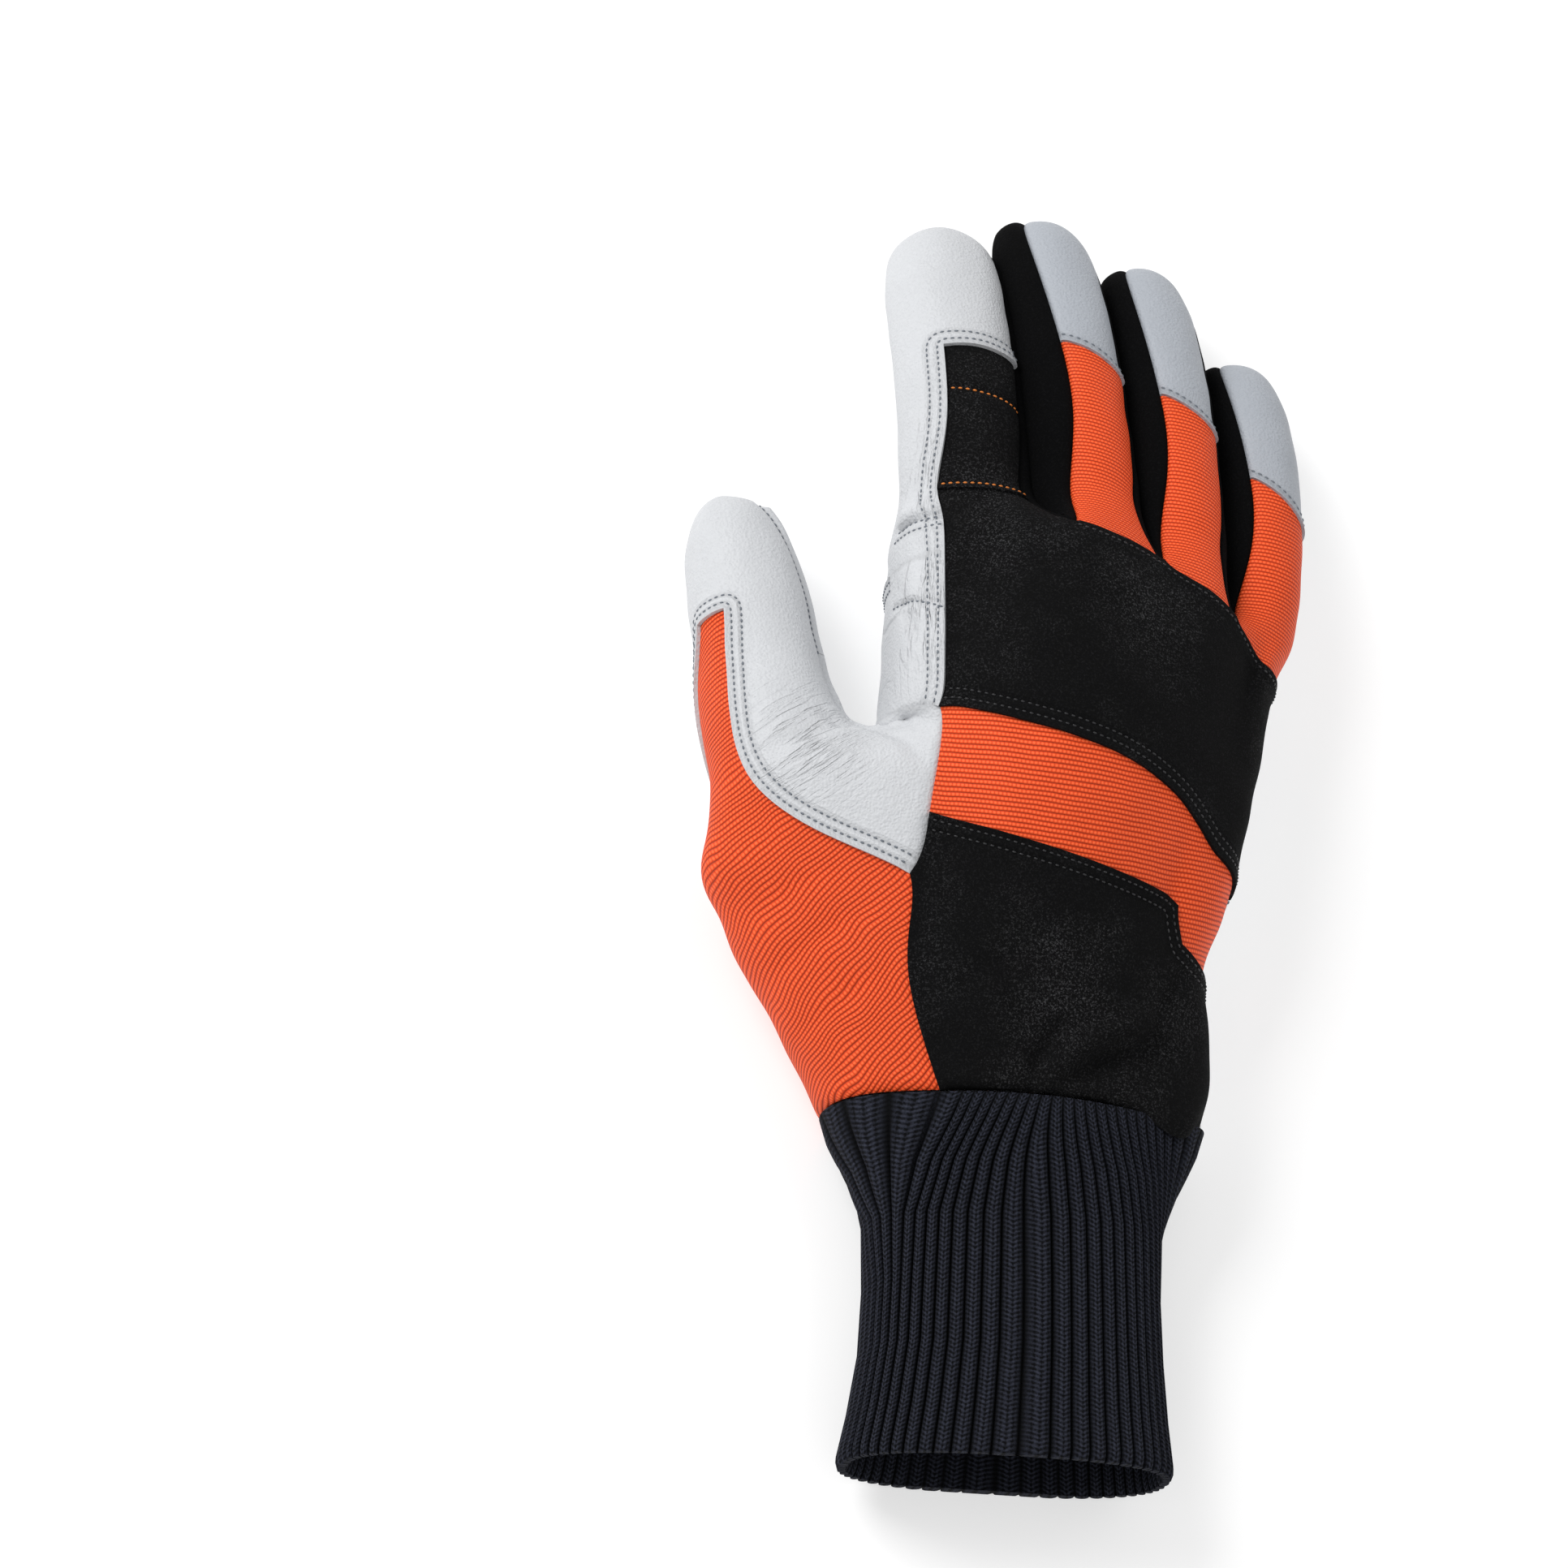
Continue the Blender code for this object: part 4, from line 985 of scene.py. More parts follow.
def relief(patch):
    """How far each point of a panel stands off the smooth surface, in metres."""
    points, normals = patch.points, patch.normals
    height = SLACK * wave_field(points, SLACK_SPAN, SLACK_SEED)
    if patch.name in SWELLS:
        swell = SWELLS[patch.name]
        inside = patch.rim_distance(("any",)) / MM
        height += swell.height * (1 - np.exp(-inside / swell.reach))
    for seam in SEAMS:
        away = patch.rim_distance(seam.neighbours) if patch.name in seam.pieces else None
        if away is None:
            continue
        near = np.clip(1 - away / MM / seam.reach, 0.0, 1.0) * facing(normals, seam.side)
        if seam.form == "lap":
            height += seam.height * near * near * (3 - 2 * near)
        else:
            height -= seam.height * (1 - np.sqrt(np.maximum(1 - near ** 2, 0.0)))
    if patch.name == "thumb_leather":
        away = welt_distance(patch) / MM
        height += WELT_HEIGHT * np.exp(-(away / WELT_WIDTH) ** 2)
        height -= WELT_VALLEY * np.exp(-((away - WELT_VALLEY_AT) / WELT_WIDTH) ** 2)
    for channel in CHANNELS:
        if channel.piece == patch.name:
            across, along = line_offsets(points, channel)
            share = (np.abs(along) < channel.half) * lying(normals, channel)
            height -= share * channel.depth * np.exp(-(across / channel.width) ** 2)
    for crease in CREASES:
        across, along = line_offsets(points, crease)
        share = along / crease.half
        across = across - crease.bend * (1 - share ** 2)
        fade = np.clip(1 - share ** 2, 0.0, 1.0)
        fade *= np.clip(normals[:, 2] * crease.side * CREASE_SLOPE, 0.0, 1.0)
        height -= fade * crease.depth * np.exp(-(across / crease.width) ** 2)
    return height * MM


def level_lines(points, normals, quads, field, keep):
    """Lines on the surface where the field is zero: lists of points and of normals."""
    triangles = np.vstack([quads[:, [0, 1, 2]], quads[:, [0, 2, 3]]])
    signs = field > 0
    mixed = triangles[(signs[triangles].any(axis=1)) & (~signs[triangles]).any(axis=1)
                      & keep[triangles].all(axis=1)]
    links = {}
    for triangle in mixed.tolist():
        crossings = []
        for a, b in ((0, 1), (1, 2), (2, 0)):
            i, j = triangle[a], triangle[b]
            if signs[i] != signs[j]:
                crossings.append((min(i, j), max(i, j)))
        links.setdefault(crossings[0], []).append(crossings[1])
        links.setdefault(crossings[1], []).append(crossings[0])
    lines, seen = [], set()
    starts = [k for k in sorted(links) if len(links[k]) == 1] + sorted(links)
    for start in starts:
        if start in seen:
            continue
        line = [start]
        seen.add(start)
        while True:
            after = [k for k in links[line[-1]] if k not in seen]
            if not after:
                break
            line.append(after[0])
            seen.add(after[0])
        pairs = np.array(line)
        low, high = field[pairs[:, 0]], field[pairs[:, 1]]
        share = (low / (low - high))[:, None]
        spots = points[pairs[:, 0]] * (1 - share) + points[pairs[:, 1]] * share
        ups = normals[pairs[:, 0]] * (1 - share) + normals[pairs[:, 1]] * share
        for _ in range(LINE_SMOOTHING):
            spots[1:-1] = (spots[:-2] + 2 * spots[1:-1] + spots[2:]) / 4
        lines.append((spots, ups))
    return [line for line in lines if len(line[0]) > SHORTEST_LINE]


def cuff_tube(loop, rows_between, count):
    """Points of the knit cuff's outside without its ribs, row by row from the hand to the hem.

    rows_between is how many steps there are from one row of the table to the next, and count how many points
    go round. With the points come their outward ways, and for each its share of the way round, its share of
    the cuff's length and how strongly the ribs stand out there.
    """
    angles = cuff_angles(loop)
    table = np.array(CUFF)
    at = np.linspace(0, len(CUFF) - 1, (len(CUFF) - 1) * rows_between + 1)
    spots, ways, marks = [], [], []
    for step in at:
        ring = CuffRing(*[np.interp(step, range(len(CUFF)), table[:, k]) for k in range(table.shape[1])])
        drop = CUFF_TOP_GAP + ring.along * CUFF_LENGTH
        half_width, half_height = CUFF_WIDTH / 2 * ring.width, CUFF_HEIGHT / 2 * ring.height
        for k in range(count):
            on_hand = loop_point(loop, k / count)
            turn = np.interp(k / count * len(loop), range(len(loop) + 1),
                             np.append(angles, angles[0] - 2 * math.pi))
            even = angles[0] - 2 * math.pi * k / count
            turn = turn + (even - turn) * ring.blend
            c, s = math.cos(turn), math.sin(turn)
            round_x = math.copysign(abs(c) ** (2 / CUFF_SQUARENESS), c)
            round_z = math.copysign(abs(s) ** (2 / CUFF_SQUARENESS), s)
            own = np.array((ring.shift * PALM_WIDTH + half_width * round_x, 0.0,
                            CUFF_HEIGHT / 2 + half_height * round_z))
            mean = on_hand * (1 - ring.blend) + own * ring.blend
            mean[1] = on_hand[1] * (1 - ring.blend) - drop
            way = np.array((c / half_width, 0.0, s / half_height))
            way /= np.linalg.norm(way)
            spots.append(mean)
            ways.append(way)
            marks.append((k / count, ring.along, ring.ribs))
    return np.array(spots), np.array(ways), np.array(marks)


def new_object(name, mesh):
    """An object in the scene with the mesh."""
    piece = bpy.data.objects.new(name, mesh)
    bpy.context.scene.collection.objects.link(piece)
    return piece


def closed_wall(patch, outer, inner):
    """Faces of a closed wall: the panel outside, its lining inside, and the rims between."""
    count = len(outer)
    quads = patch.faces
    rims = np.array(rim_edges([tuple(face) for face in quads.tolist()]))
    rims = rims[np.lexsort((rims[:, 1], rims[:, 0]))]
    sides = np.column_stack((rims[:, 1], rims[:, 0], rims[:, 0] + count, rims[:, 1] + count))
    return np.vstack([outer, inner]), np.vstack([quads, quads[:, ::-1] + count, sides])


def mesh_of(name, points, quads):
    """A smooth mesh, sharp where its faces turn by more than the sharp angle."""
    mesh = bpy.data.meshes.new(name)
    mesh.from_pydata(points.tolist(), [], quads.tolist())
    mesh.shade_smooth()
    mesh.set_sharp_from_angle(angle=math.radians(SHARP_ANGLE))
    return mesh


def point_attribute(mesh, name, values):
    """Stores one number for each point; those of the lining get the outside's."""
    layer = mesh.attributes.new(name, "FLOAT", "POINT")
    layer.data.foreach_set("value", np.tile(values, len(mesh.vertices) // len(values)))


def vector_attribute(mesh, name, values):
    """Stores one vector for each point."""
    layer = mesh.attributes.new(name, "FLOAT_VECTOR", "POINT")
    layer.data.foreach_set("vector", np.array(values).ravel())


def unwrap(patch, points, way):
    """Flat coordinates of a panel in metres, with U along the given way."""
    mesh = bpy.data.meshes.new("flat")
    mesh.from_pydata(points.tolist(), [], patch.faces.tolist())
    mesh.uv_layers.new(name="cloth")
    flat = new_object("flat", mesh)
    bpy.ops.object.select_all(action="DESELECT")
    bpy.context.view_layer.objects.active = flat
    flat.select_set(True)
    bpy.ops.object.mode_set(mode="EDIT")
    bpy.ops.mesh.select_all(action="SELECT")
    bpy.ops.uv.unwrap(method="ANGLE_BASED", margin=0.0)
    bpy.ops.object.mode_set(mode="OBJECT")
    raw = np.empty(len(mesh.loops) * 2)
    mesh.uv_layers["cloth"].data.foreach_get("uv", raw)
    corners = np.empty(len(mesh.loops), int)
    mesh.loops.foreach_get("vertex_index", corners)
    places = np.zeros((len(points), 2))
    places[corners] = raw.reshape(-1, 2)
    bpy.data.objects.remove(flat)
    bpy.data.meshes.remove(mesh)
    edges = patch.faces[:, [0, 1]]
    steps = places[edges[:, 1]] - places[edges[:, 0]]
    more = patch.faces[:, [1, 2]]
    steps = np.vstack([steps, places[more[:, 1]] - places[more[:, 0]]])
    spans = np.vstack([points[edges[:, 1]] - points[edges[:, 0]], points[more[:, 1]] - points[more[:, 0]]])
    scale = np.linalg.norm(spans, axis=1).sum() / max(np.linalg.norm(steps, axis=1).sum(), SMALLEST)
    slope, _, _, _ = np.linalg.lstsq(steps * scale, spans @ np.array(way), rcond=None)
    angle = math.atan2(slope[1], slope[0])
    c, s = math.cos(angle), math.sin(angle)
    return places * scale @ np.array(((c, -s), (s, c)))


def store_uv(mesh, places):
    """A UV map in metres; the lining shares the outside's."""
    layer = mesh.uv_layers.new(name="cloth")
    corners = np.empty(len(mesh.loops), int)
    mesh.loops.foreach_get("vertex_index", corners)
    layer.data.foreach_set("uv", places[corners % len(places)].ravel())


def sewn_fields(patch):
    """Signed distances from the panel's rows of stitches: beside its seams, further in, and across it."""
    fields = [np.full(len(patch.points), FAR) for _ in range(3)]
    for row in EDGE_STITCHES:
        away = patch.rim_distance(row.neighbours) if patch.name in row.pieces else None
        if away is not None:
            field = np.where(facing(patch.normals, row.side) > 0.5, away - row.inset * MM, FAR)
            which = fields[int(row.inset > SECOND_ROW)]
            np.copyto(which, field, where=np.abs(field) < np.abs(which))
    if patch.name == "thumb_leather":
        field = np.where(beside_welt(patch), welt_distance(patch) - WELT_STITCH_INSET * MM, FAR)
        np.copyto(fields[0], field, where=np.abs(field) < np.abs(fields[0]))
    for row in CHANNELS:
        if row.piece == patch.name:
            across, along = line_offsets(patch.points, row)
            inside = (np.abs(along) < row.half) & (lying(patch.normals, row) > 0.5)
            inside &= np.abs(across) < CHANNEL_REACH
            np.copyto(fields[2], across * MM, where=inside)
    return fields


def wrinkle_fields(patch):
    """How strongly each point is wrinkled, and how far it is across and along the wrinkles."""
    for row in WRINKLES:
        if row.piece == patch.name:
            away = np.linalg.norm(patch.points / MM - np.array((row.x, row.y, row.z)), axis=1) / row.reach
            across, along = line_offsets(patch.points, row)
            return row.strength * np.exp(-away ** 2), across * MM, along * MM
    return (np.zeros(len(patch.points)),) * 3


def sew_panel(name):
    """Builds one panel as a closed wall with its relief and stands it in for its plain solid."""
    patch = hand_skin().patch(name)
    wall = PANELS[name].wall
    height = relief(patch)
    outer = patch.points + patch.normals * height[:, None]
    for fold in FOLDS:
        if fold.piece == name:
            away = np.linalg.norm(outer - np.array((fold.x, fold.y, fold.z)) * MM, axis=1) / MM
            share = np.exp(-(away / fold.reach) ** 2)
            outer += share[:, None] * np.array((fold.across, fold.along, fold.up)) * MM
    inner = patch.points - patch.normals * wall
    outer[:, 2] = np.maximum(outer[:, 2], 0.0)
    inner[:, 2] = np.maximum(inner[:, 2], wall)
    patch.outer = outer
    mesh = mesh_of(name + "_sewn", *closed_wall(patch, outer, inner))
    point_attribute(mesh, "seam", patch.rim_distance(("any",)))
    gathered = wrinkle_fields(patch)
    for title, field in zip(("wrinkled", "wrinkle_across", "wrinkle_along"), gathered):
        point_attribute(mesh, title, field)
    for number, field in enumerate(sewn_fields(patch)):
        point_attribute(mesh, f"sewn_{number}", field)
    if name in WEAVES:
        store_uv(mesh, unwrap(patch, patch.points, WEAVES[name].way))
    piece = new_object(name + "_sewn", mesh)
    mesh.materials.append(finish_for(name))
    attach(piece, "root")
    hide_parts(name)
    return piece


@functools.lru_cache(maxsize=1)
def hand_skin():
    """The hand's fine surface, worked out once."""
    return Skin()


def sewn_lines():
    """Every row of stitches on the finished panels, by thread."""
    rows = {thread: [] for thread in THREADS}

    def lay(thread, patch, field, keep):
        """Adds the lines on a panel where the field is zero."""
        rows[thread] += level_lines(patch.outer, patch.normals, patch.faces, field, keep)

    for row in EDGE_STITCHES:
        for patch in map(hand_skin().patch, row.pieces):
            away = patch.rim_distance(row.neighbours)
            if away is None:
                continue
            keep = patch.rim_distance([name for name in patch.rims if name not in row.neighbours])
            keep = np.ones(len(away), bool) if keep is None else keep > SEAM_MARGIN * MM
            keep &= facing(patch.normals, row.side) > 0.5
            lay(row.thread, patch, away - row.inset * MM, keep)
    patch = hand_skin().patch("thumb_leather")
    lay("pale", patch, welt_distance(patch) - WELT_STITCH_INSET * MM, beside_welt(patch))
    for row in CHANNELS:
        patch = hand_skin().patch(row.piece)
        across, along = line_offsets(patch.points, row)
        keep = (np.abs(along) < row.half) & (lying(patch.normals, row) > 0.5)
        keep &= patch.rim_distance(("any",)) > SEAM_MARGIN * MM
        lay(row.thread, patch, across * MM, keep)
    return rows


class Socket:
    """A node's output in a material, with arithmetic that adds Math nodes."""

    def __init__(self, material, output):
        self.material = material
        self.output = output

    def math(self, operation, *others):
        """The result of a Math node on this value and others."""
        return self.material.node("ShaderNodeMath", {"operation": operation}, (self,) + others)

    def __add__(self, other):
        """Adds another value."""
        return self.math("ADD", other)

    def __sub__(self, other):
        """Takes another value away."""
        return self.math("SUBTRACT", other)

    def __mul__(self, other):
        """Multiplies by another value."""
        return self.math("MULTIPLY", other)

    def __truediv__(self, other):
        """Divides by another value."""
        return self.math("DIVIDE", other)

    def __pow__(self, other):
        """Raises to a power."""
        return self.math("POWER", other)

    def __radd__(self, other):
        """Adds this to a number."""
        return self.math("ADD", other)

    def __rmul__(self, other):
        """Multiplies a number by this."""
        return self.math("MULTIPLY", other)

    def __rsub__(self, other):
        """Takes this away from a number."""
        return (self * -1.0) + other

    def sine(self):
        """The sine of an angle in radians."""
        return self.math("SINE")

    def size(self):
        """The value without its sign."""
        return self.math("ABSOLUTE")

    def floor(self):
        """The whole number below."""
        return self.math("FLOOR")

    def part(self):
        """What is left over the whole number below."""
        return self.math("FRACT")

    def limited(self):
        """Kept between 0 and 1."""
        return self.material.node("ShaderNodeClamp", {}, (self, 0.0, 1.0))


class Finish:
    """A node material built from expressions, ending in one Principled shader."""

    def __init__(self, name, roughness, **constants):
        self.material = bpy.data.materials.new(name)
        self.material.use_nodes = True
        self.tree = self.material.node_tree
        self.shader = self.tree.nodes["Principled BSDF"]
        self.shader.inputs["Roughness"].default_value = roughness
        for socket, value in constants.items():
            title = socket.replace("_", " ").title().replace("Ior", "IOR")
            self.shader.inputs[title].default_value = value

    def node(self, kind, settings, inputs=(), output=0):
        """Adds a node, sets what it is set to, then fills its inputs in order or by name."""
        node = self.tree.nodes.new(kind)
        for setting, value in settings.items():
            setattr(node, setting, value)
        pairs = inputs.items() if isinstance(inputs, dict) else enumerate(inputs)
        for where, value in pairs:
            if isinstance(value, Socket):
                self.tree.links.new(value.output, node.inputs[where])
            elif value is not None:
                node.inputs[where].default_value = value
        return Socket(self, node.outputs[output])

    def place(self):
        """Where a point is on the object, in metres."""
        return self.node("ShaderNodeTexCoord", {}, (), "Object")

    def cloth(self):
        """The cloth's own flat coordinates in metres, as two values."""
        flat = self.node("ShaderNodeUVMap", {"uv_map": "cloth"})
        node = self.node("ShaderNodeSeparateXYZ", {}, (flat,))
        return node, Socket(self, node.output.node.outputs[1])

    def measure(self, name):
        """One of the numbers stored on the mesh."""
        return self.node("ShaderNodeAttribute", {"attribute_name": name}, (), "Fac")

    def sewn(self, half_width):
        """1 on the rows of stitches, falling to 0 at half_width in metres beside them."""
        near = [(1.0 - self.measure(f"sewn_{number}").size() / half_width).limited() for number in range(3)]
        return (near[0] + near[1] + near[2]).limited()

    def noise(self, where, scale, detail=2.0, rough=0.5):
        """Soft random values from 0 to 1."""
        return self.node("ShaderNodeTexNoise", {}, {"Vector": where, "Scale": scale, "Detail": detail,
                                                    "Roughness": rough}, "Fac")

    def cells(self, where, scale):
        """Rounded distances from scattered points, as in pebbled leather."""
        return self.node("ShaderNodeTexVoronoi", {"feature": "SMOOTH_F1"}, {"Vector": where, "Scale": scale},
                         "Distance")

    def stretched(self, where, amounts):
        """Coordinates scaled along each axis."""
        return self.node("ShaderNodeMapping", {}, {"Vector": where, "Scale": amounts})

    def mixed(self, share, first, second):
        """A colour between two others."""
        node = self.tree.nodes.new("ShaderNodeMix")
        node.data_type = "RGBA"
        for socket, value in ((node.inputs[0], share), (node.inputs[6], first), (node.inputs[7], second)):
            if isinstance(value, Socket):
                self.tree.links.new(value.output, socket)
            else:
                socket.default_value = (*value, 1.0) if isinstance(value, (tuple, list)) else value
        return Socket(self, node.outputs[2])

    def drive(self, socket, value):
        """Links a value to one of the shader's sockets."""
        self.tree.links.new(value.output, self.shader.inputs[socket])

    def bump(self, *layers):
        """Adds bumps one after the other: pairs of a height and its depth in metres."""
        normal = None
        for height, depth in layers:
            inputs = {"Height": height, "Distance": depth, "Strength": 1.0}
            if normal:
                inputs["Normal"] = normal
            normal = self.node("ShaderNodeBump", {}, inputs)
        self.drive("Normal", normal)


def shade(colour, amount):
    """A colour made darker or lighter."""
    return tuple(min(channel * amount, 1.0) for channel in colour)


def leather_finish(name="goat_leather", colour=None):
    """Fine-grained white-grey leather with pebbles, pores and soft creases."""
    colour = tuple(colour or bpy.context.scene.glove_colours.leather)
    finish = Finish(name, 0.5, specular_ior_level=0.4)
    place = finish.place()
    bent = finish.noise(place, 260.0, 3.0)
    pebbles = finish.cells(place, 1500.0)
    creases = finish.noise(finish.stretched(place, (420.0, 900.0, 600.0)), 1.0, 4.0, 0.62)
    broad = finish.noise(place, 42.0, 3.0)
    tone = (broad * 0.4 + pebbles * 0.25 + creases * 0.4).limited()
    base = finish.mixed(tone, shade(colour, 0.86), shade(colour, 1.06))
    gathers = finish.node("ShaderNodeCombineXYZ", {}, {"X": finish.measure("wrinkle_across") * WRINKLE_ACROSS,
                                                       "Y": finish.measure("wrinkle_along") * WRINKLE_ALONG,
                                                       "Z": finish.measure("wrinkle_across") * WRINKLE_DRIFT})
    lines = (1.0 - (finish.noise(gathers, 1.0, 3.0, 0.55) - 0.5).size() * WRINKLE_THINNESS).limited()
    # The wrinkle lines are sunk by the bump below and darkened in the colour as painted shade
    fold = lines * finish.measure("wrinkled")
    # Painted shade: the leather's colour darkens along its seams, beside its rows of stitches and in its
    # wrinkle lines
    near = (1.0 - finish.measure("seam") / SEAM_SHADE).limited()
    sewn = finish.sewn(THREAD_SHADE)
    finish.drive("Base Color", finish.mixed(near * 0.3 + sewn * 0.3 + fold * 0.22, base, shade(colour, 0.55)))
    finish.drive("Roughness", 0.42 + bent * 0.22)
    finish.bump((creases, 0.00013), (pebbles, 0.00022), (bent, 0.00010),
                (1.0 - finish.sewn(DENT_WIDTH), DENT_DEPTH), (1.0 - fold, 0.0009))
    return finish.material


def weave_finish(name):
    """Bright stretch fabric woven in fine cords of small beads."""
    weave = WEAVES[name]
    colour = tuple(bpy.context.scene.glove_colours.orange)
    finish = Finish("orange_weave_" + name, 0.62, specular_ior_level=0.25)
    along, across = finish.cloth()
    wobble = finish.noise(finish.place(), 150.0, 2.0) - 0.5
    sway = finish.noise(finish.place(), 55.0, 1.0) - 0.5
    rows = (across + sway * weave.sway * MM) / (weave.cord * MM) + wobble * 0.3
    shift = (rows.floor() * 0.5).part()
    beads = along / (weave.bead * MM) + shift + wobble * 0.2
    cord = (rows * math.pi).sine().size()
    bead = (beads * math.pi).sine().size()
    height = (cord ** 0.7) * (0.62 + bead * 0.38)
    fuzz = finish.noise(finish.place(), 2600.0, 2.0)
    # Painted shade and highlight: the colour darkens from the cords' and beads' crests into the grooves, and
    # the crests get a painted highlight
    tone = (height * 1.05 + fuzz * 0.25 - 0.1).limited()
    base = finish.mixed(tone, shade(colour, 0.26), colour)
    crest_highlight = finish.mixed(((height - 0.66) * 3.0).limited(), base, CORD_PAINTED_HIGHLIGHT)
    finish.drive("Base Color", crest_highlight)
    finish.bump((height, weave.depth * MM), (fuzz, 0.00004))
    return finish.material


def suede_finish():
    """Matt black microsuede with fine pale fibres, brightened in broad patches by painted sheen."""
    colour = tuple(bpy.context.scene.glove_colours.suede)
    finish = Finish("black_microsuede", 0.95, specular_ior_level=0.08)
    place = finish.place()
    fibres = finish.noise(place, 1700.0, 4.0, 0.85)
    clouds = finish.noise(place, 60.0, 5.0, 0.6)
    # Painted sheen: broad patches in which the pale fibres show brighter
    sheen_patches = ((finish.noise(place, 26.0, 4.0, 0.55) - 0.45) * 5.0).limited()
    fibres_and_sheen = ((fibres - 0.52) * 8.0).limited() * (0.14 + sheen_patches * 0.86)
    finish.drive("Base Color", finish.mixed(fibres_and_sheen, colour, shade(colour, 19.0)))
    finish.bump((clouds, 0.00040), (fibres, 0.00030), (1.0 - finish.sewn(DENT_WIDTH), DENT_DEPTH))
    return finish.material


def fleece_finish():
    """Deep black stretch fleece."""
    colour = tuple(bpy.context.scene.glove_colours.fleece)
    finish = Finish("black_fleece", 0.95, specular_ior_level=0.06)
    place = finish.place()
    pile = finish.noise(place, 1500.0, 3.0, 0.7)
    finish.drive("Base Color", finish.mixed(((pile - 0.5) * 3.0).limited(), colour, shade(colour, 3.0)))
    finish.bump((pile, 0.00018))
    return finish.material


def knit_finish():
    """Dark rib knit: small loops along each rib."""
    colour = tuple(bpy.context.scene.glove_colours.knit)
    finish = Finish("navy_rib_knit", 0.9, specular_ior_level=0.12)
    turn, along = finish.cloth()
    slope = (turn.part() - 0.5).size()
    loops = (along / KNIT_LOOP + slope * 2.2) * (2 * math.pi)
    stitch = loops.sine() * 0.5 + 0.5
    strand = ((turn * 4.0) * math.pi).sine().size()
    fuzz = finish.noise(finish.place(), 1700.0, 3.0, 0.75)
    height = stitch * 0.55 + strand * 0.45
    # Painted shade: the colour darkens into the grooves between the ribs and between the loops, and the pale
    # fuzz shows only on the crests
    crest = ((0.47 - slope) * 4.5).limited()
    tone = ((height * 0.9 + fuzz * 1.6 - 1.0) * crest).limited()
    finish.drive("Base Color", finish.mixed(tone, shade(colour, 0.25), shade(colour, 6.5)))
    finish.bump((height, 0.00030), (fuzz, 0.00020))
    return finish.material


def thread_finish(name, colour, roughness):
    """Twisted sewing thread."""
    finish = Finish(name, roughness, specular_ior_level=0.4)
    twist = finish.noise(finish.stretched(finish.place(), (1500.0, 1500.0, 1500.0)), 1.0, 2.0)
    finish.drive("Base Color", finish.mixed(twist, shade(colour, 0.6), shade(colour, 1.15)))
    finish.bump((twist, 0.00006))
    return finish.material


MADE = {}


def finish_for(name):
    """The finish of a panel, made once for each kind."""
    kind = "cap_leather" if name in CAPS else PANELS[name].finish
    key = name if kind == "orange_fabric" else kind
    if key not in MADE:
        colours = bpy.context.scene.glove_colours
        makers = {
            "leather": leather_finish,
            "cap_leather": lambda: leather_finish("cap_leather", colours.caps),
            "black_suede": suede_finish,
            "black_fabric": fleece_finish,
            "orange_fabric": lambda: weave_finish(name),
        }
        MADE[key] = makers[kind]()
    return MADE[key]


class NodeTree:
    """A Geometry Nodes tree with named inputs, set on its modifier by their identifiers."""

    def __init__(self, name, inputs):
        self.tree = bpy.data.node_groups.new(name, "GeometryNodeTree")
        self.tree.interface.new_socket("Geometry", in_out="INPUT", socket_type="NodeSocketGeometry")
        for title, (kind, _) in inputs.items():
            self.tree.interface.new_socket(title, in_out="INPUT", socket_type=kind)
        self.tree.interface.new_socket("Geometry", in_out="OUTPUT", socket_type="NodeSocketGeometry")
        self.start = self.tree.nodes.new("NodeGroupInput")
        self.end = self.tree.nodes.new("NodeGroupOutput")
        self.values = {title: value for title, (_, value) in inputs.items()}

    def node(self, kind, settings=None, inputs=None):
        """Adds a node, sets what it is set to, then links or fills its inputs."""
        node = self.tree.nodes.new(kind)
        for setting, value in (settings or {}).items():
            setattr(node, setting, value)
        for where, value in (inputs or {}).items():
            if isinstance(value, bpy.types.NodeSocket):
                self.tree.links.new(value, node.inputs[where])
            else:
                node.inputs[where].default_value = value
        return node

    def math(self, operation, *values):
        """The result of a Math node."""
        return self.node("ShaderNodeMath", {"operation": operation}, dict(enumerate(values))).outputs[0]

    def stored(self, name, kind):
        """A number or vector stored on the mesh."""
        return self.node("GeometryNodeInputNamedAttribute", {"data_type": kind}, {"Name": name}).outputs[0]

    def input(self, title):
        """One of the tree's own inputs."""
        return self.start.outputs[title]

    def finish(self, geometry):
        """Ends the tree with real geometry in its material."""
        real = self.node("GeometryNodeRealizeInstances", {}, {"Geometry": geometry})
        painted = self.node("GeometryNodeSetMaterial", {}, {"Geometry": real.outputs[0],
                                                          "Material": self.input("Material")})
        self.tree.links.new(painted.outputs[0], self.end.inputs[0])

    def bake(self, piece, name):
        """Runs the tree on the piece and gives it the result as a plain mesh."""
        modifier = piece.modifiers.new("nodes", "NODES")
        modifier.node_group = self.tree
        for item in self.tree.interface.items_tree:
            if item.in_out == "INPUT" and item.name in self.values:
                modifier[item.identifier] = self.values[item.name]
        graph = bpy.context.evaluated_depsgraph_get()
        mesh = bpy.data.meshes.new_from_object(piece.evaluated_get(graph))
        piece.modifiers.remove(modifier)
        old, piece.data = piece.data, mesh
        bpy.data.meshes.remove(old)
        mesh.name = name
        mesh.shade_smooth()
        return piece


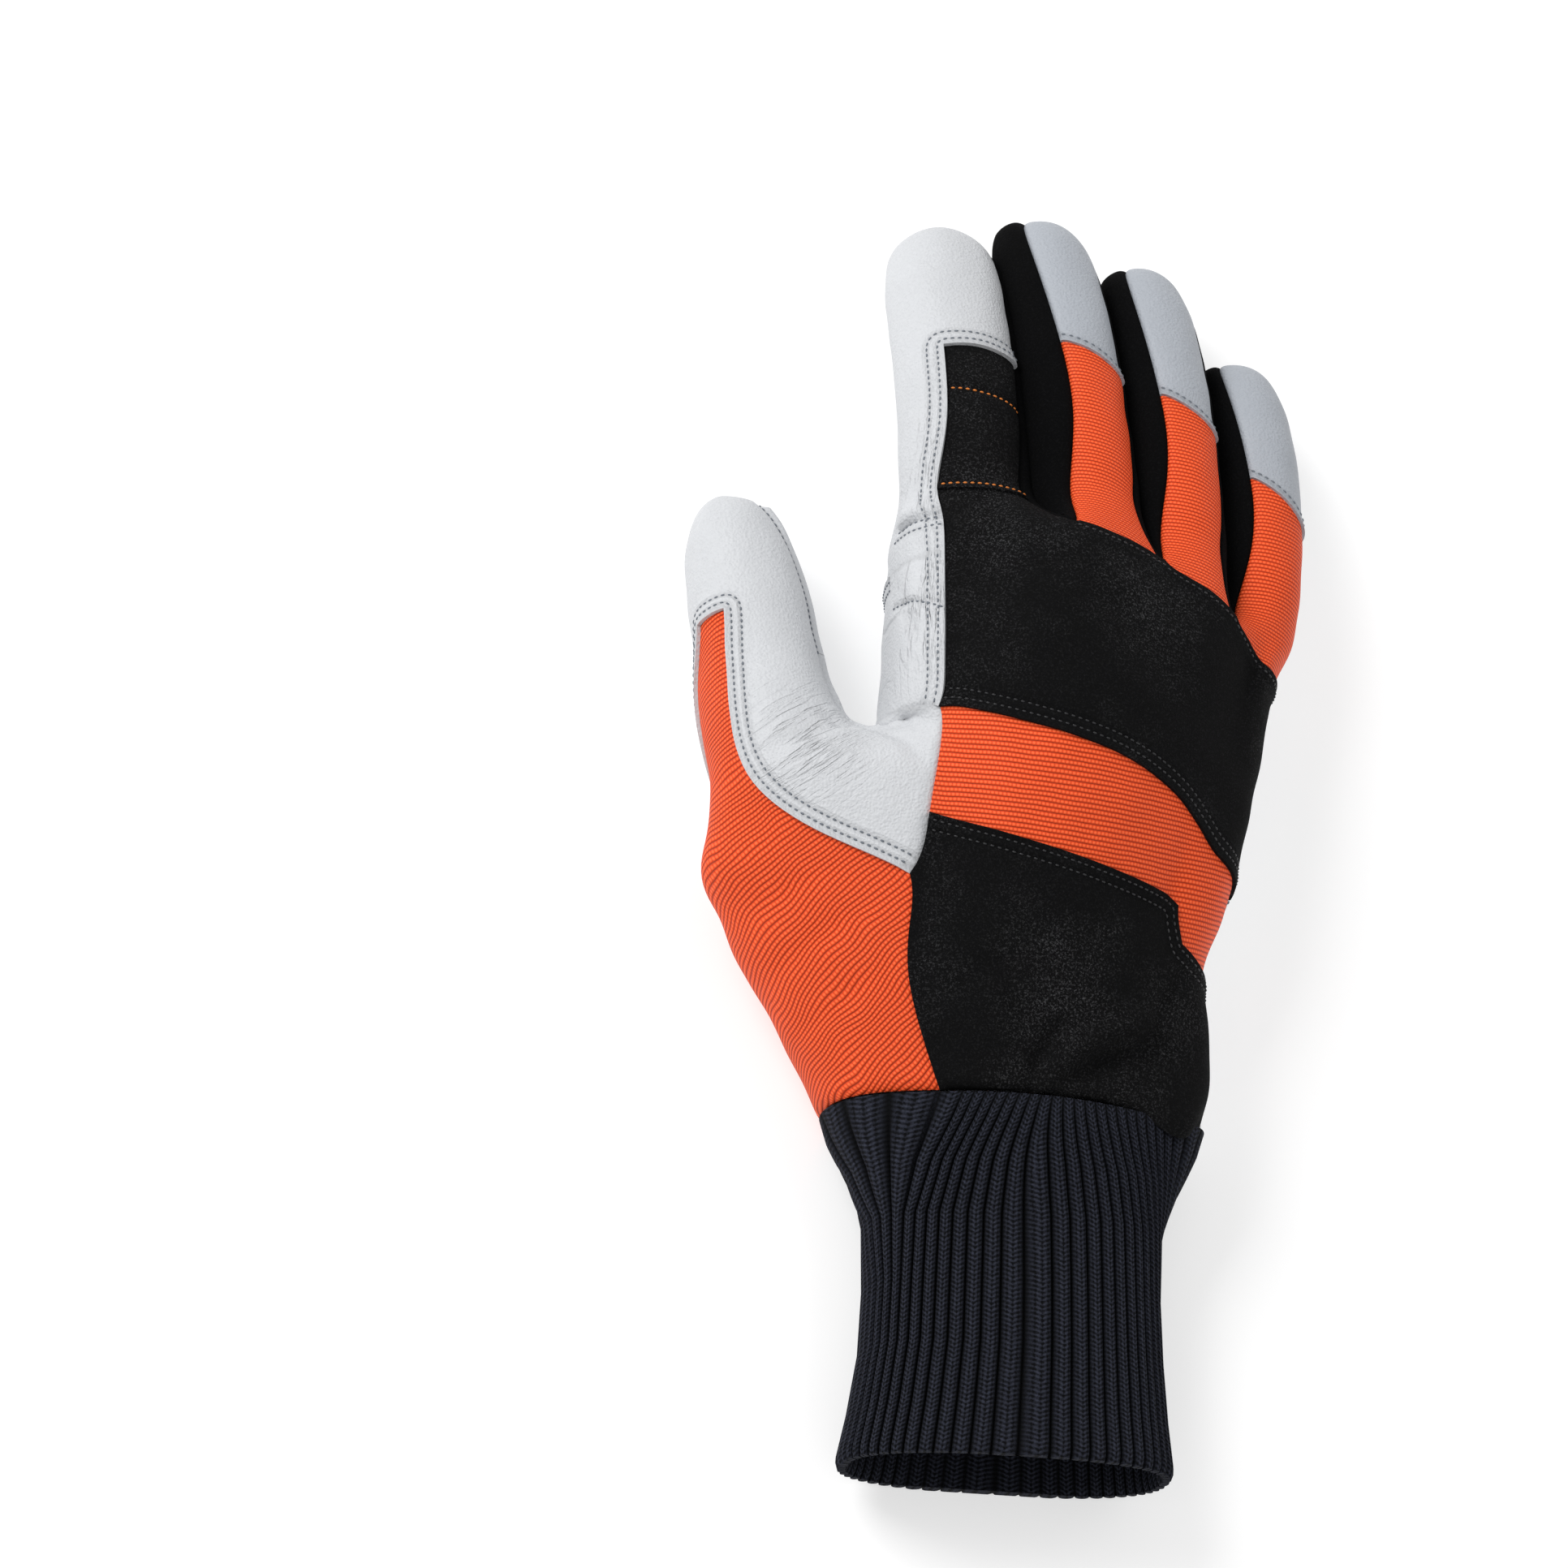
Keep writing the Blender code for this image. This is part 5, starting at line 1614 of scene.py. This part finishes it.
def stitch_tree(material):
    """Small thread loops laid end to end along sewn lines, each sunk a little into the panel."""
    shape = bpy.context.scene.glove_shape
    tree = NodeTree("stitch_rows", {
        "Pitch": ("NodeSocketFloat", shape.stitch_pitch),
        "Length": ("NodeSocketFloat", shape.stitch_length),
        "Thickness": ("NodeSocketFloat", shape.thread_width),
        "Material": ("NodeSocketMaterial", material),
    })
    curve = tree.node("GeometryNodeMeshToCurve", {}, {"Mesh": tree.input("Geometry")})
    even = tree.node("GeometryNodeResampleCurve", {"mode": "LENGTH"},
                     {"Curve": curve.outputs[0], "Length": tree.input("Pitch")})
    ball = tree.node("GeometryNodeMeshUVSphere", {}, {"Segments": 6, "Rings": 4, "Radius": 0.5})
    size = tree.node("ShaderNodeCombineXYZ", {}, {"X": tree.input("Length"), "Y": tree.input("Thickness"),
                                                 "Z": tree.input("Thickness")})
    loop = tree.node("GeometryNodeTransform", {}, {"Geometry": ball.outputs[0], "Scale": size.outputs[0]})
    tangent = tree.node("GeometryNodeInputTangent")
    turn = tree.node("FunctionNodeAxesToRotation", {"primary_axis": "Z", "secondary_axis": "X"},
                     {"Primary Axis": tree.stored("up", "FLOAT_VECTOR"), "Secondary Axis": tangent.outputs[0]})
    placed = tree.node("GeometryNodeInstanceOnPoints", {}, {
        "Points": even.outputs[0], "Instance": loop.outputs[0], "Rotation": turn.outputs[0]})
    tree.finish(placed.outputs[0])
    return tree


def sew_rows(name, lines, material):
    """One piece of thread for all rows of a colour."""
    points, edges, ups = [], [], []
    for spots, normals in lines:
        first = len(points)
        points += spots.tolist()
        ups += (normals / np.linalg.norm(normals, axis=1)[:, None]).tolist()
        edges += [(k, k + 1) for k in range(first, len(points) - 1)]
    mesh = bpy.data.meshes.new(name)
    mesh.from_pydata(points, edges, [])
    vector_attribute(mesh, "up", ups)
    piece = stitch_tree(material).bake(new_object(name, mesh), name)
    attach(piece, "root")
    return piece


def rib_tree(material):
    """Presses the cuff's ribs out of its plain walls: rounded cords with narrow grooves between them."""
    tree = NodeTree("cuff_ribs", {
        "Ribs": ("NodeSocketFloat", float(CUFF_RIBS)),
        "Depth": ("NodeSocketFloat", bpy.context.scene.glove_shape.rib_depth),
        "Fullness": ("NodeSocketFloat", RIB_FULLNESS),
        "Material": ("NodeSocketMaterial", material),
    })
    turn = tree.math("MULTIPLY", tree.stored("turn", "FLOAT"), tree.input("Ribs"))
    beside = tree.math("ABSOLUTE", tree.math("MULTIPLY_ADD", tree.math("FRACT", turn), 2.0, -1.0))
    rise = tree.math("SUBTRACT", 1.0, tree.math("POWER", beside, tree.input("Fullness")))
    crest = tree.math("MULTIPLY_ADD", tree.math("SQRT", tree.math("MAXIMUM", rise, 0.0)), 2.0, -1.0)
    depth = tree.math("MULTIPLY", tree.input("Depth"), tree.stored("press", "FLOAT"))
    push = tree.math("MULTIPLY", crest, depth)
    step = tree.node("ShaderNodeVectorMath", {"operation": "SCALE"},
                     {"Vector": tree.stored("way", "FLOAT_VECTOR"), "Scale": push})
    place = tree.node("ShaderNodeVectorMath", {"operation": "ADD"},
                      {0: tree.node("GeometryNodeInputPosition").outputs[0], 1: step.outputs[0]})
    parts = tree.node("ShaderNodeSeparateXYZ", {}, {0: place.outputs[0]})
    raised = tree.math("MAXIMUM", parts.outputs[2], tree.stored("lowest", "FLOAT"))
    rested = tree.node("ShaderNodeCombineXYZ", {}, {0: parts.outputs[0], 1: parts.outputs[1], 2: raised})
    pressed = tree.node("GeometryNodeSetPosition", {}, {"Geometry": tree.input("Geometry"),
                                                        "Position": rested.outputs[0]})
    tree.finish(pressed.outputs[0])
    return tree


def knit_cuff():
    """The ribbed tube with its lining, its ribs pressed out by Geometry Nodes."""
    skin = hand_skin()
    loop = [skin.points[k] - skin.shift for k in skin.wrist]
    count = CUFF_RIBS * RIB_POINTS
    depth = bpy.context.scene.glove_shape.rib_depth
    spots, ways, marks = cuff_tube(loop, CUFF_STEPS, count)
    spots = spots + skin.shift
    lining = spots - ways * (KNIT_WALL - depth / 2)
    rounded = HEM_ROUND * HEM_REACH / CUFF_LENGTH
    at_hem = np.clip((marks[:, 1] - 1 + rounded) / rounded, 0, 1)[:, None] ** 2
    spots = spots - ways * at_hem * HEM_ROUND
    lining = lining + ways * at_hem * HEM_ROUND * HEM_LINING
    grid = np.arange(len(spots)).reshape(-1, count)
    a, b = grid[:-1], np.roll(grid[:-1], -1, axis=1)
    c, d = np.roll(grid[1:], -1, axis=1), grid[1:]
    outside = np.stack((a, d, c, b), axis=2).reshape(-1, 4)
    under = outside[:, ::-1] + len(spots)
    top, after = grid[0], np.roll(grid[0], -1)
    first = np.stack((top, after, after + len(spots), top + len(spots)), axis=1)
    hem, beyond = grid[-1], np.roll(grid[-1], -1)
    last = np.stack((beyond, hem, hem + len(spots), beyond + len(spots)), axis=1)
    mesh = mesh_of("cuff_walls", np.vstack([spots, lining]), np.vstack([outside, under, first, last]))
    store_uv(mesh, np.column_stack((marks[:, 0] * CUFF_RIBS, marks[:, 1] * CUFF_LENGTH)))
    point_attribute(mesh, "turn", marks[:, 0])
    point_attribute(mesh, "press", np.concatenate([marks[:, 2] / 2, marks[:, 2] / 2 - LINING_PRESS]))
    point_attribute(mesh, "lowest", np.repeat((0.0, KNIT_WALL), len(spots)))
    vector_attribute(mesh, "way", np.vstack([ways, ways]))
    piece = rib_tree(knit_finish()).bake(new_object("rib_knit_cuff", mesh), "rib_knit_cuff")
    piece.data.set_sharp_from_angle(angle=math.radians(SHARP_ANGLE))
    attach(piece, "root")
    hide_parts("knit_cuff")


# Camera: its target in millimetres, how far it leans back and to the left of straight down, in degrees,
# its distance in metres and its focal length in millimetres
CAMERA_TARGET = (-59.9, 0.6, 30.0)
LEAN_BACK = 22.0
LEAN_LEFT = 13.0
CAMERA_DISTANCE = 1.6
FOCAL_LENGTH = 143.1

# Soft lamps: their places and widths in metres and their power in watts
Lamp = namedtuple("Lamp", ("x", "y", "z", "size", "power"))
LAMPS = (
    Lamp(-2.4, 1.7, 2.4, 1.9, 105.0),
    Lamp(2.2, 0.4, 3.0, 2.6, 18.0),
    Lamp(-0.4, -2.6, 2.2, 2.4, 18.0),
)

# The world's light, the floor's own glow, its grey and half its width in metres, the camera's film in
# millimetres and how far it sees in metres
WORLD_LIGHT = 0.46
FLOOR_GLOW = 0.5
FLOOR_GREY = 0.6
FLOOR_REACH = 4.0
FILM_WIDTH = 36.0
FAR_LIMIT = 20.0
WHITE = (1.0, 1.0, 1.0, 1.0)


def aim(thing, place, target):
    """Puts a lamp at a place, facing the target."""
    thing.location = place
    thing.rotation_euler = (Vector(target) - Vector(place)).to_track_quat("-Z", "Y").to_euler()


def build_stage():
    """A pale floor, soft studio lights and the camera."""
    scene = bpy.context.scene
    mesh = bpy.data.meshes.new("studio_floor")
    corners = [(x * FLOOR_REACH, y * FLOOR_REACH, 0) for x, y in ((-1, -1), (1, -1), (1, 1), (-1, 1))]
    mesh.from_pydata(corners, [], [(0, 1, 2, 3)])
    floor = new_object("studio_floor", mesh)
    paper = Finish("studio_paper", 0.9, specular_ior_level=0.1)
    paper.shader.inputs["Base Color"].default_value = (FLOOR_GREY, FLOOR_GREY, FLOOR_GREY, 1.0)
    paper.shader.inputs["Emission Color"].default_value = WHITE
    paper.shader.inputs["Emission Strength"].default_value = FLOOR_GLOW
    mesh.materials.append(paper.material)
    world = bpy.data.worlds.new("studio")
    world.use_nodes = True
    world.node_tree.nodes["Background"].inputs["Color"].default_value = WHITE
    world.node_tree.nodes["Background"].inputs["Strength"].default_value = WORLD_LIGHT
    scene.view_settings.view_transform = "Standard"
    scene.world = world
    for number, lamp in enumerate(LAMPS):
        light = bpy.data.lights.new(f"studio_lamp_{number}", "AREA")
        light.size = lamp.size
        light.energy = lamp.power
        lit = bpy.data.objects.new(light.name, light)
        scene.collection.objects.link(lit)
        aim(lit, (lamp.x, lamp.y, lamp.z), (0.0, 0.0, 0.0))
    lens = bpy.data.cameras.new("studio_camera")
    lens.lens = FOCAL_LENGTH
    lens.sensor_width = FILM_WIDTH
    lens.clip_end = FAR_LIMIT
    camera = bpy.data.objects.new("studio_camera", lens)
    scene.collection.objects.link(camera)
    back, left = math.radians(LEAN_BACK), math.radians(LEAN_LEFT)
    towards = Vector((-math.sin(left) * math.cos(back), -math.sin(back), math.cos(left) * math.cos(back)))
    target = Vector(CAMERA_TARGET) * MM
    up = Vector((0, 1, 0)) - towards * towards.y
    up.normalize()
    right = up.cross(towards)
    camera.matrix_world = Matrix((
        (right.x, up.x, towards.x, 0), (right.y, up.y, towards.y, 0),
        (right.z, up.z, towards.z, 0), (0, 0, 0, 1)))
    camera.location = target + towards * CAMERA_DISTANCE
    scene.camera = camera


class GloveShape(bpy.types.PropertyGroup):
    """Sizes of the glove's details."""

    stitch_pitch: bpy.props.FloatProperty(
        name="Stitch pitch", description="Distance from one stitch to the next",
        default=0.0019, min=0.001, unit="LENGTH")
    stitch_length: bpy.props.FloatProperty(
        name="Stitch length", description="Length of thread that shows in one stitch",
        default=0.00125, min=0.0005, unit="LENGTH")
    thread_width: bpy.props.FloatProperty(
        name="Thread width", description="Thickness of the sewing thread",
        default=0.0006, min=0.0002, unit="LENGTH")
    rib_depth: bpy.props.FloatProperty(
        name="Rib depth", description="How far the cuff's ribs stand over the grooves between them",
        default=0.0022, min=0.0, unit="LENGTH")


class GloveColours(bpy.types.PropertyGroup):
    """Colours of the glove's materials."""

    leather: bpy.props.FloatVectorProperty(
        name="Leather", description="Colour of the white-grey leather",
        subtype="COLOR", default=(0.60, 0.612, 0.632), min=0.0, max=1.0)
    caps: bpy.props.FloatVectorProperty(
        name="Cap leather", description="Colour of the cooler leather of the fingertip caps",
        subtype="COLOR", default=(0.40, 0.425, 0.465), min=0.0, max=1.0)
    orange: bpy.props.FloatVectorProperty(
        name="Orange fabric", description="Colour of the bright stretch fabric",
        subtype="COLOR", default=(1.0, 0.082, 0.011), min=0.0, max=1.0)
    suede: bpy.props.FloatVectorProperty(
        name="Black suede", description="Colour of the padded suede panels",
        subtype="COLOR", default=(0.0042, 0.0042, 0.0044), min=0.0, max=1.0)
    fleece: bpy.props.FloatVectorProperty(
        name="Black fleece", description="Colour of the gussets between the fingers",
        subtype="COLOR", default=(0.002, 0.002, 0.0022), min=0.0, max=1.0)
    knit: bpy.props.FloatVectorProperty(
        name="Knit cuff", description="Colour of the rib knit",
        subtype="COLOR", default=(0.0062, 0.0068, 0.0100), min=0.0, max=1.0)


class GLOVE_OT_leather(bpy.types.Operator):
    """Sews the leather of the palm, the fingers and the thumb, and the fingertip caps"""

    bl_idname = "glove.leather"
    bl_label = "Leather"

    def execute(self, context):
        for name in LEATHERS:
            sew_panel(name)
        return {"FINISHED"}


class GLOVE_OT_suede(bpy.types.Operator):
    """Sews the padded black suede panels on the back of the hand"""

    bl_idname = "glove.suede"
    bl_label = "Suede panels"

    def execute(self, context):
        for name in SUEDES:
            sew_panel(name)
        return {"FINISHED"}


class GLOVE_OT_fabric(bpy.types.Operator):
    """Sews the orange stretch fabric: finger backs, back band and thumb gusset"""

    bl_idname = "glove.fabric"
    bl_label = "Orange fabric"

    def execute(self, context):
        for name in WEAVES:
            sew_panel(name)
        return {"FINISHED"}


class GLOVE_OT_gussets(bpy.types.Operator):
    """Sews the black gussets between the fingers"""

    bl_idname = "glove.gussets"
    bl_label = "Finger gussets"

    def execute(self, context):
        for name in GUSSETS:
            sew_panel(name)
        return {"FINISHED"}


class GLOVE_OT_cuff(bpy.types.Operator):
    """Knits the ribbed cuff"""

    bl_idname = "glove.cuff"
    bl_label = "Knit cuff"

    def execute(self, context):
        knit_cuff()
        return {"FINISHED"}


class GLOVE_OT_stitches(bpy.types.Operator):
    """Lays the rows of stitches on the finished panels"""

    bl_idname = "glove.stitches"
    bl_label = "Stitches"

    def execute(self, context):
        rows = sewn_lines()
        for thread, row in THREADS.items():
            name = thread + "_thread"
            sew_rows(name, rows[thread], thread_finish(name, row.colour, row.roughness))
        return {"FINISHED"}


class GLOVE_OT_stage(bpy.types.Operator):
    """Sets the floor, the studio lights and the camera"""

    bl_idname = "glove.stage"
    bl_label = "Studio"

    def execute(self, context):
        build_stage()
        return {"FINISHED"}


class GLOVE_PT_sidebar(bpy.types.Panel):
    """Lists the glove's pieces, sizes and colours"""

    bl_idname = "GLOVE_PT_sidebar"
    bl_label = "Chainsaw glove"
    bl_space_type = "VIEW_3D"
    bl_region_type = "UI"
    bl_category = "Glove"

    def draw(self, context):
        layout = self.layout
        for operator in OPERATORS:
            layout.operator(operator.bl_idname)
        for group in (context.scene.glove_shape, context.scene.glove_colours):
            for name in group.__annotations__:
                layout.prop(group, name)


OPERATORS = (GLOVE_OT_leather, GLOVE_OT_suede, GLOVE_OT_fabric, GLOVE_OT_gussets,
             GLOVE_OT_cuff, GLOVE_OT_stitches, GLOVE_OT_stage)
CLASSES = (GloveShape, GloveColours) + OPERATORS + (GLOVE_PT_sidebar,)


def register():
    """Makes the glove's operators, panel, sizes and colours known."""
    for kind in CLASSES:
        bpy.utils.register_class(kind)
    bpy.types.Scene.glove_shape = bpy.props.PointerProperty(type=GloveShape)
    bpy.types.Scene.glove_colours = bpy.props.PointerProperty(type=GloveColours)


def unregister():
    """Takes them away again."""
    del bpy.types.Scene.glove_colours
    del bpy.types.Scene.glove_shape
    for kind in reversed(CLASSES):
        bpy.utils.unregister_class(kind)


def main():
    """Builds the glove and its studio."""
    register()
    bpy.ops.glove.leather()
    bpy.ops.glove.suede()
    bpy.ops.glove.fabric()
    bpy.ops.glove.gussets()
    bpy.ops.glove.cuff()
    bpy.ops.glove.stitches()
    bpy.ops.glove.stage()


if __name__ == "__main__":
    main()
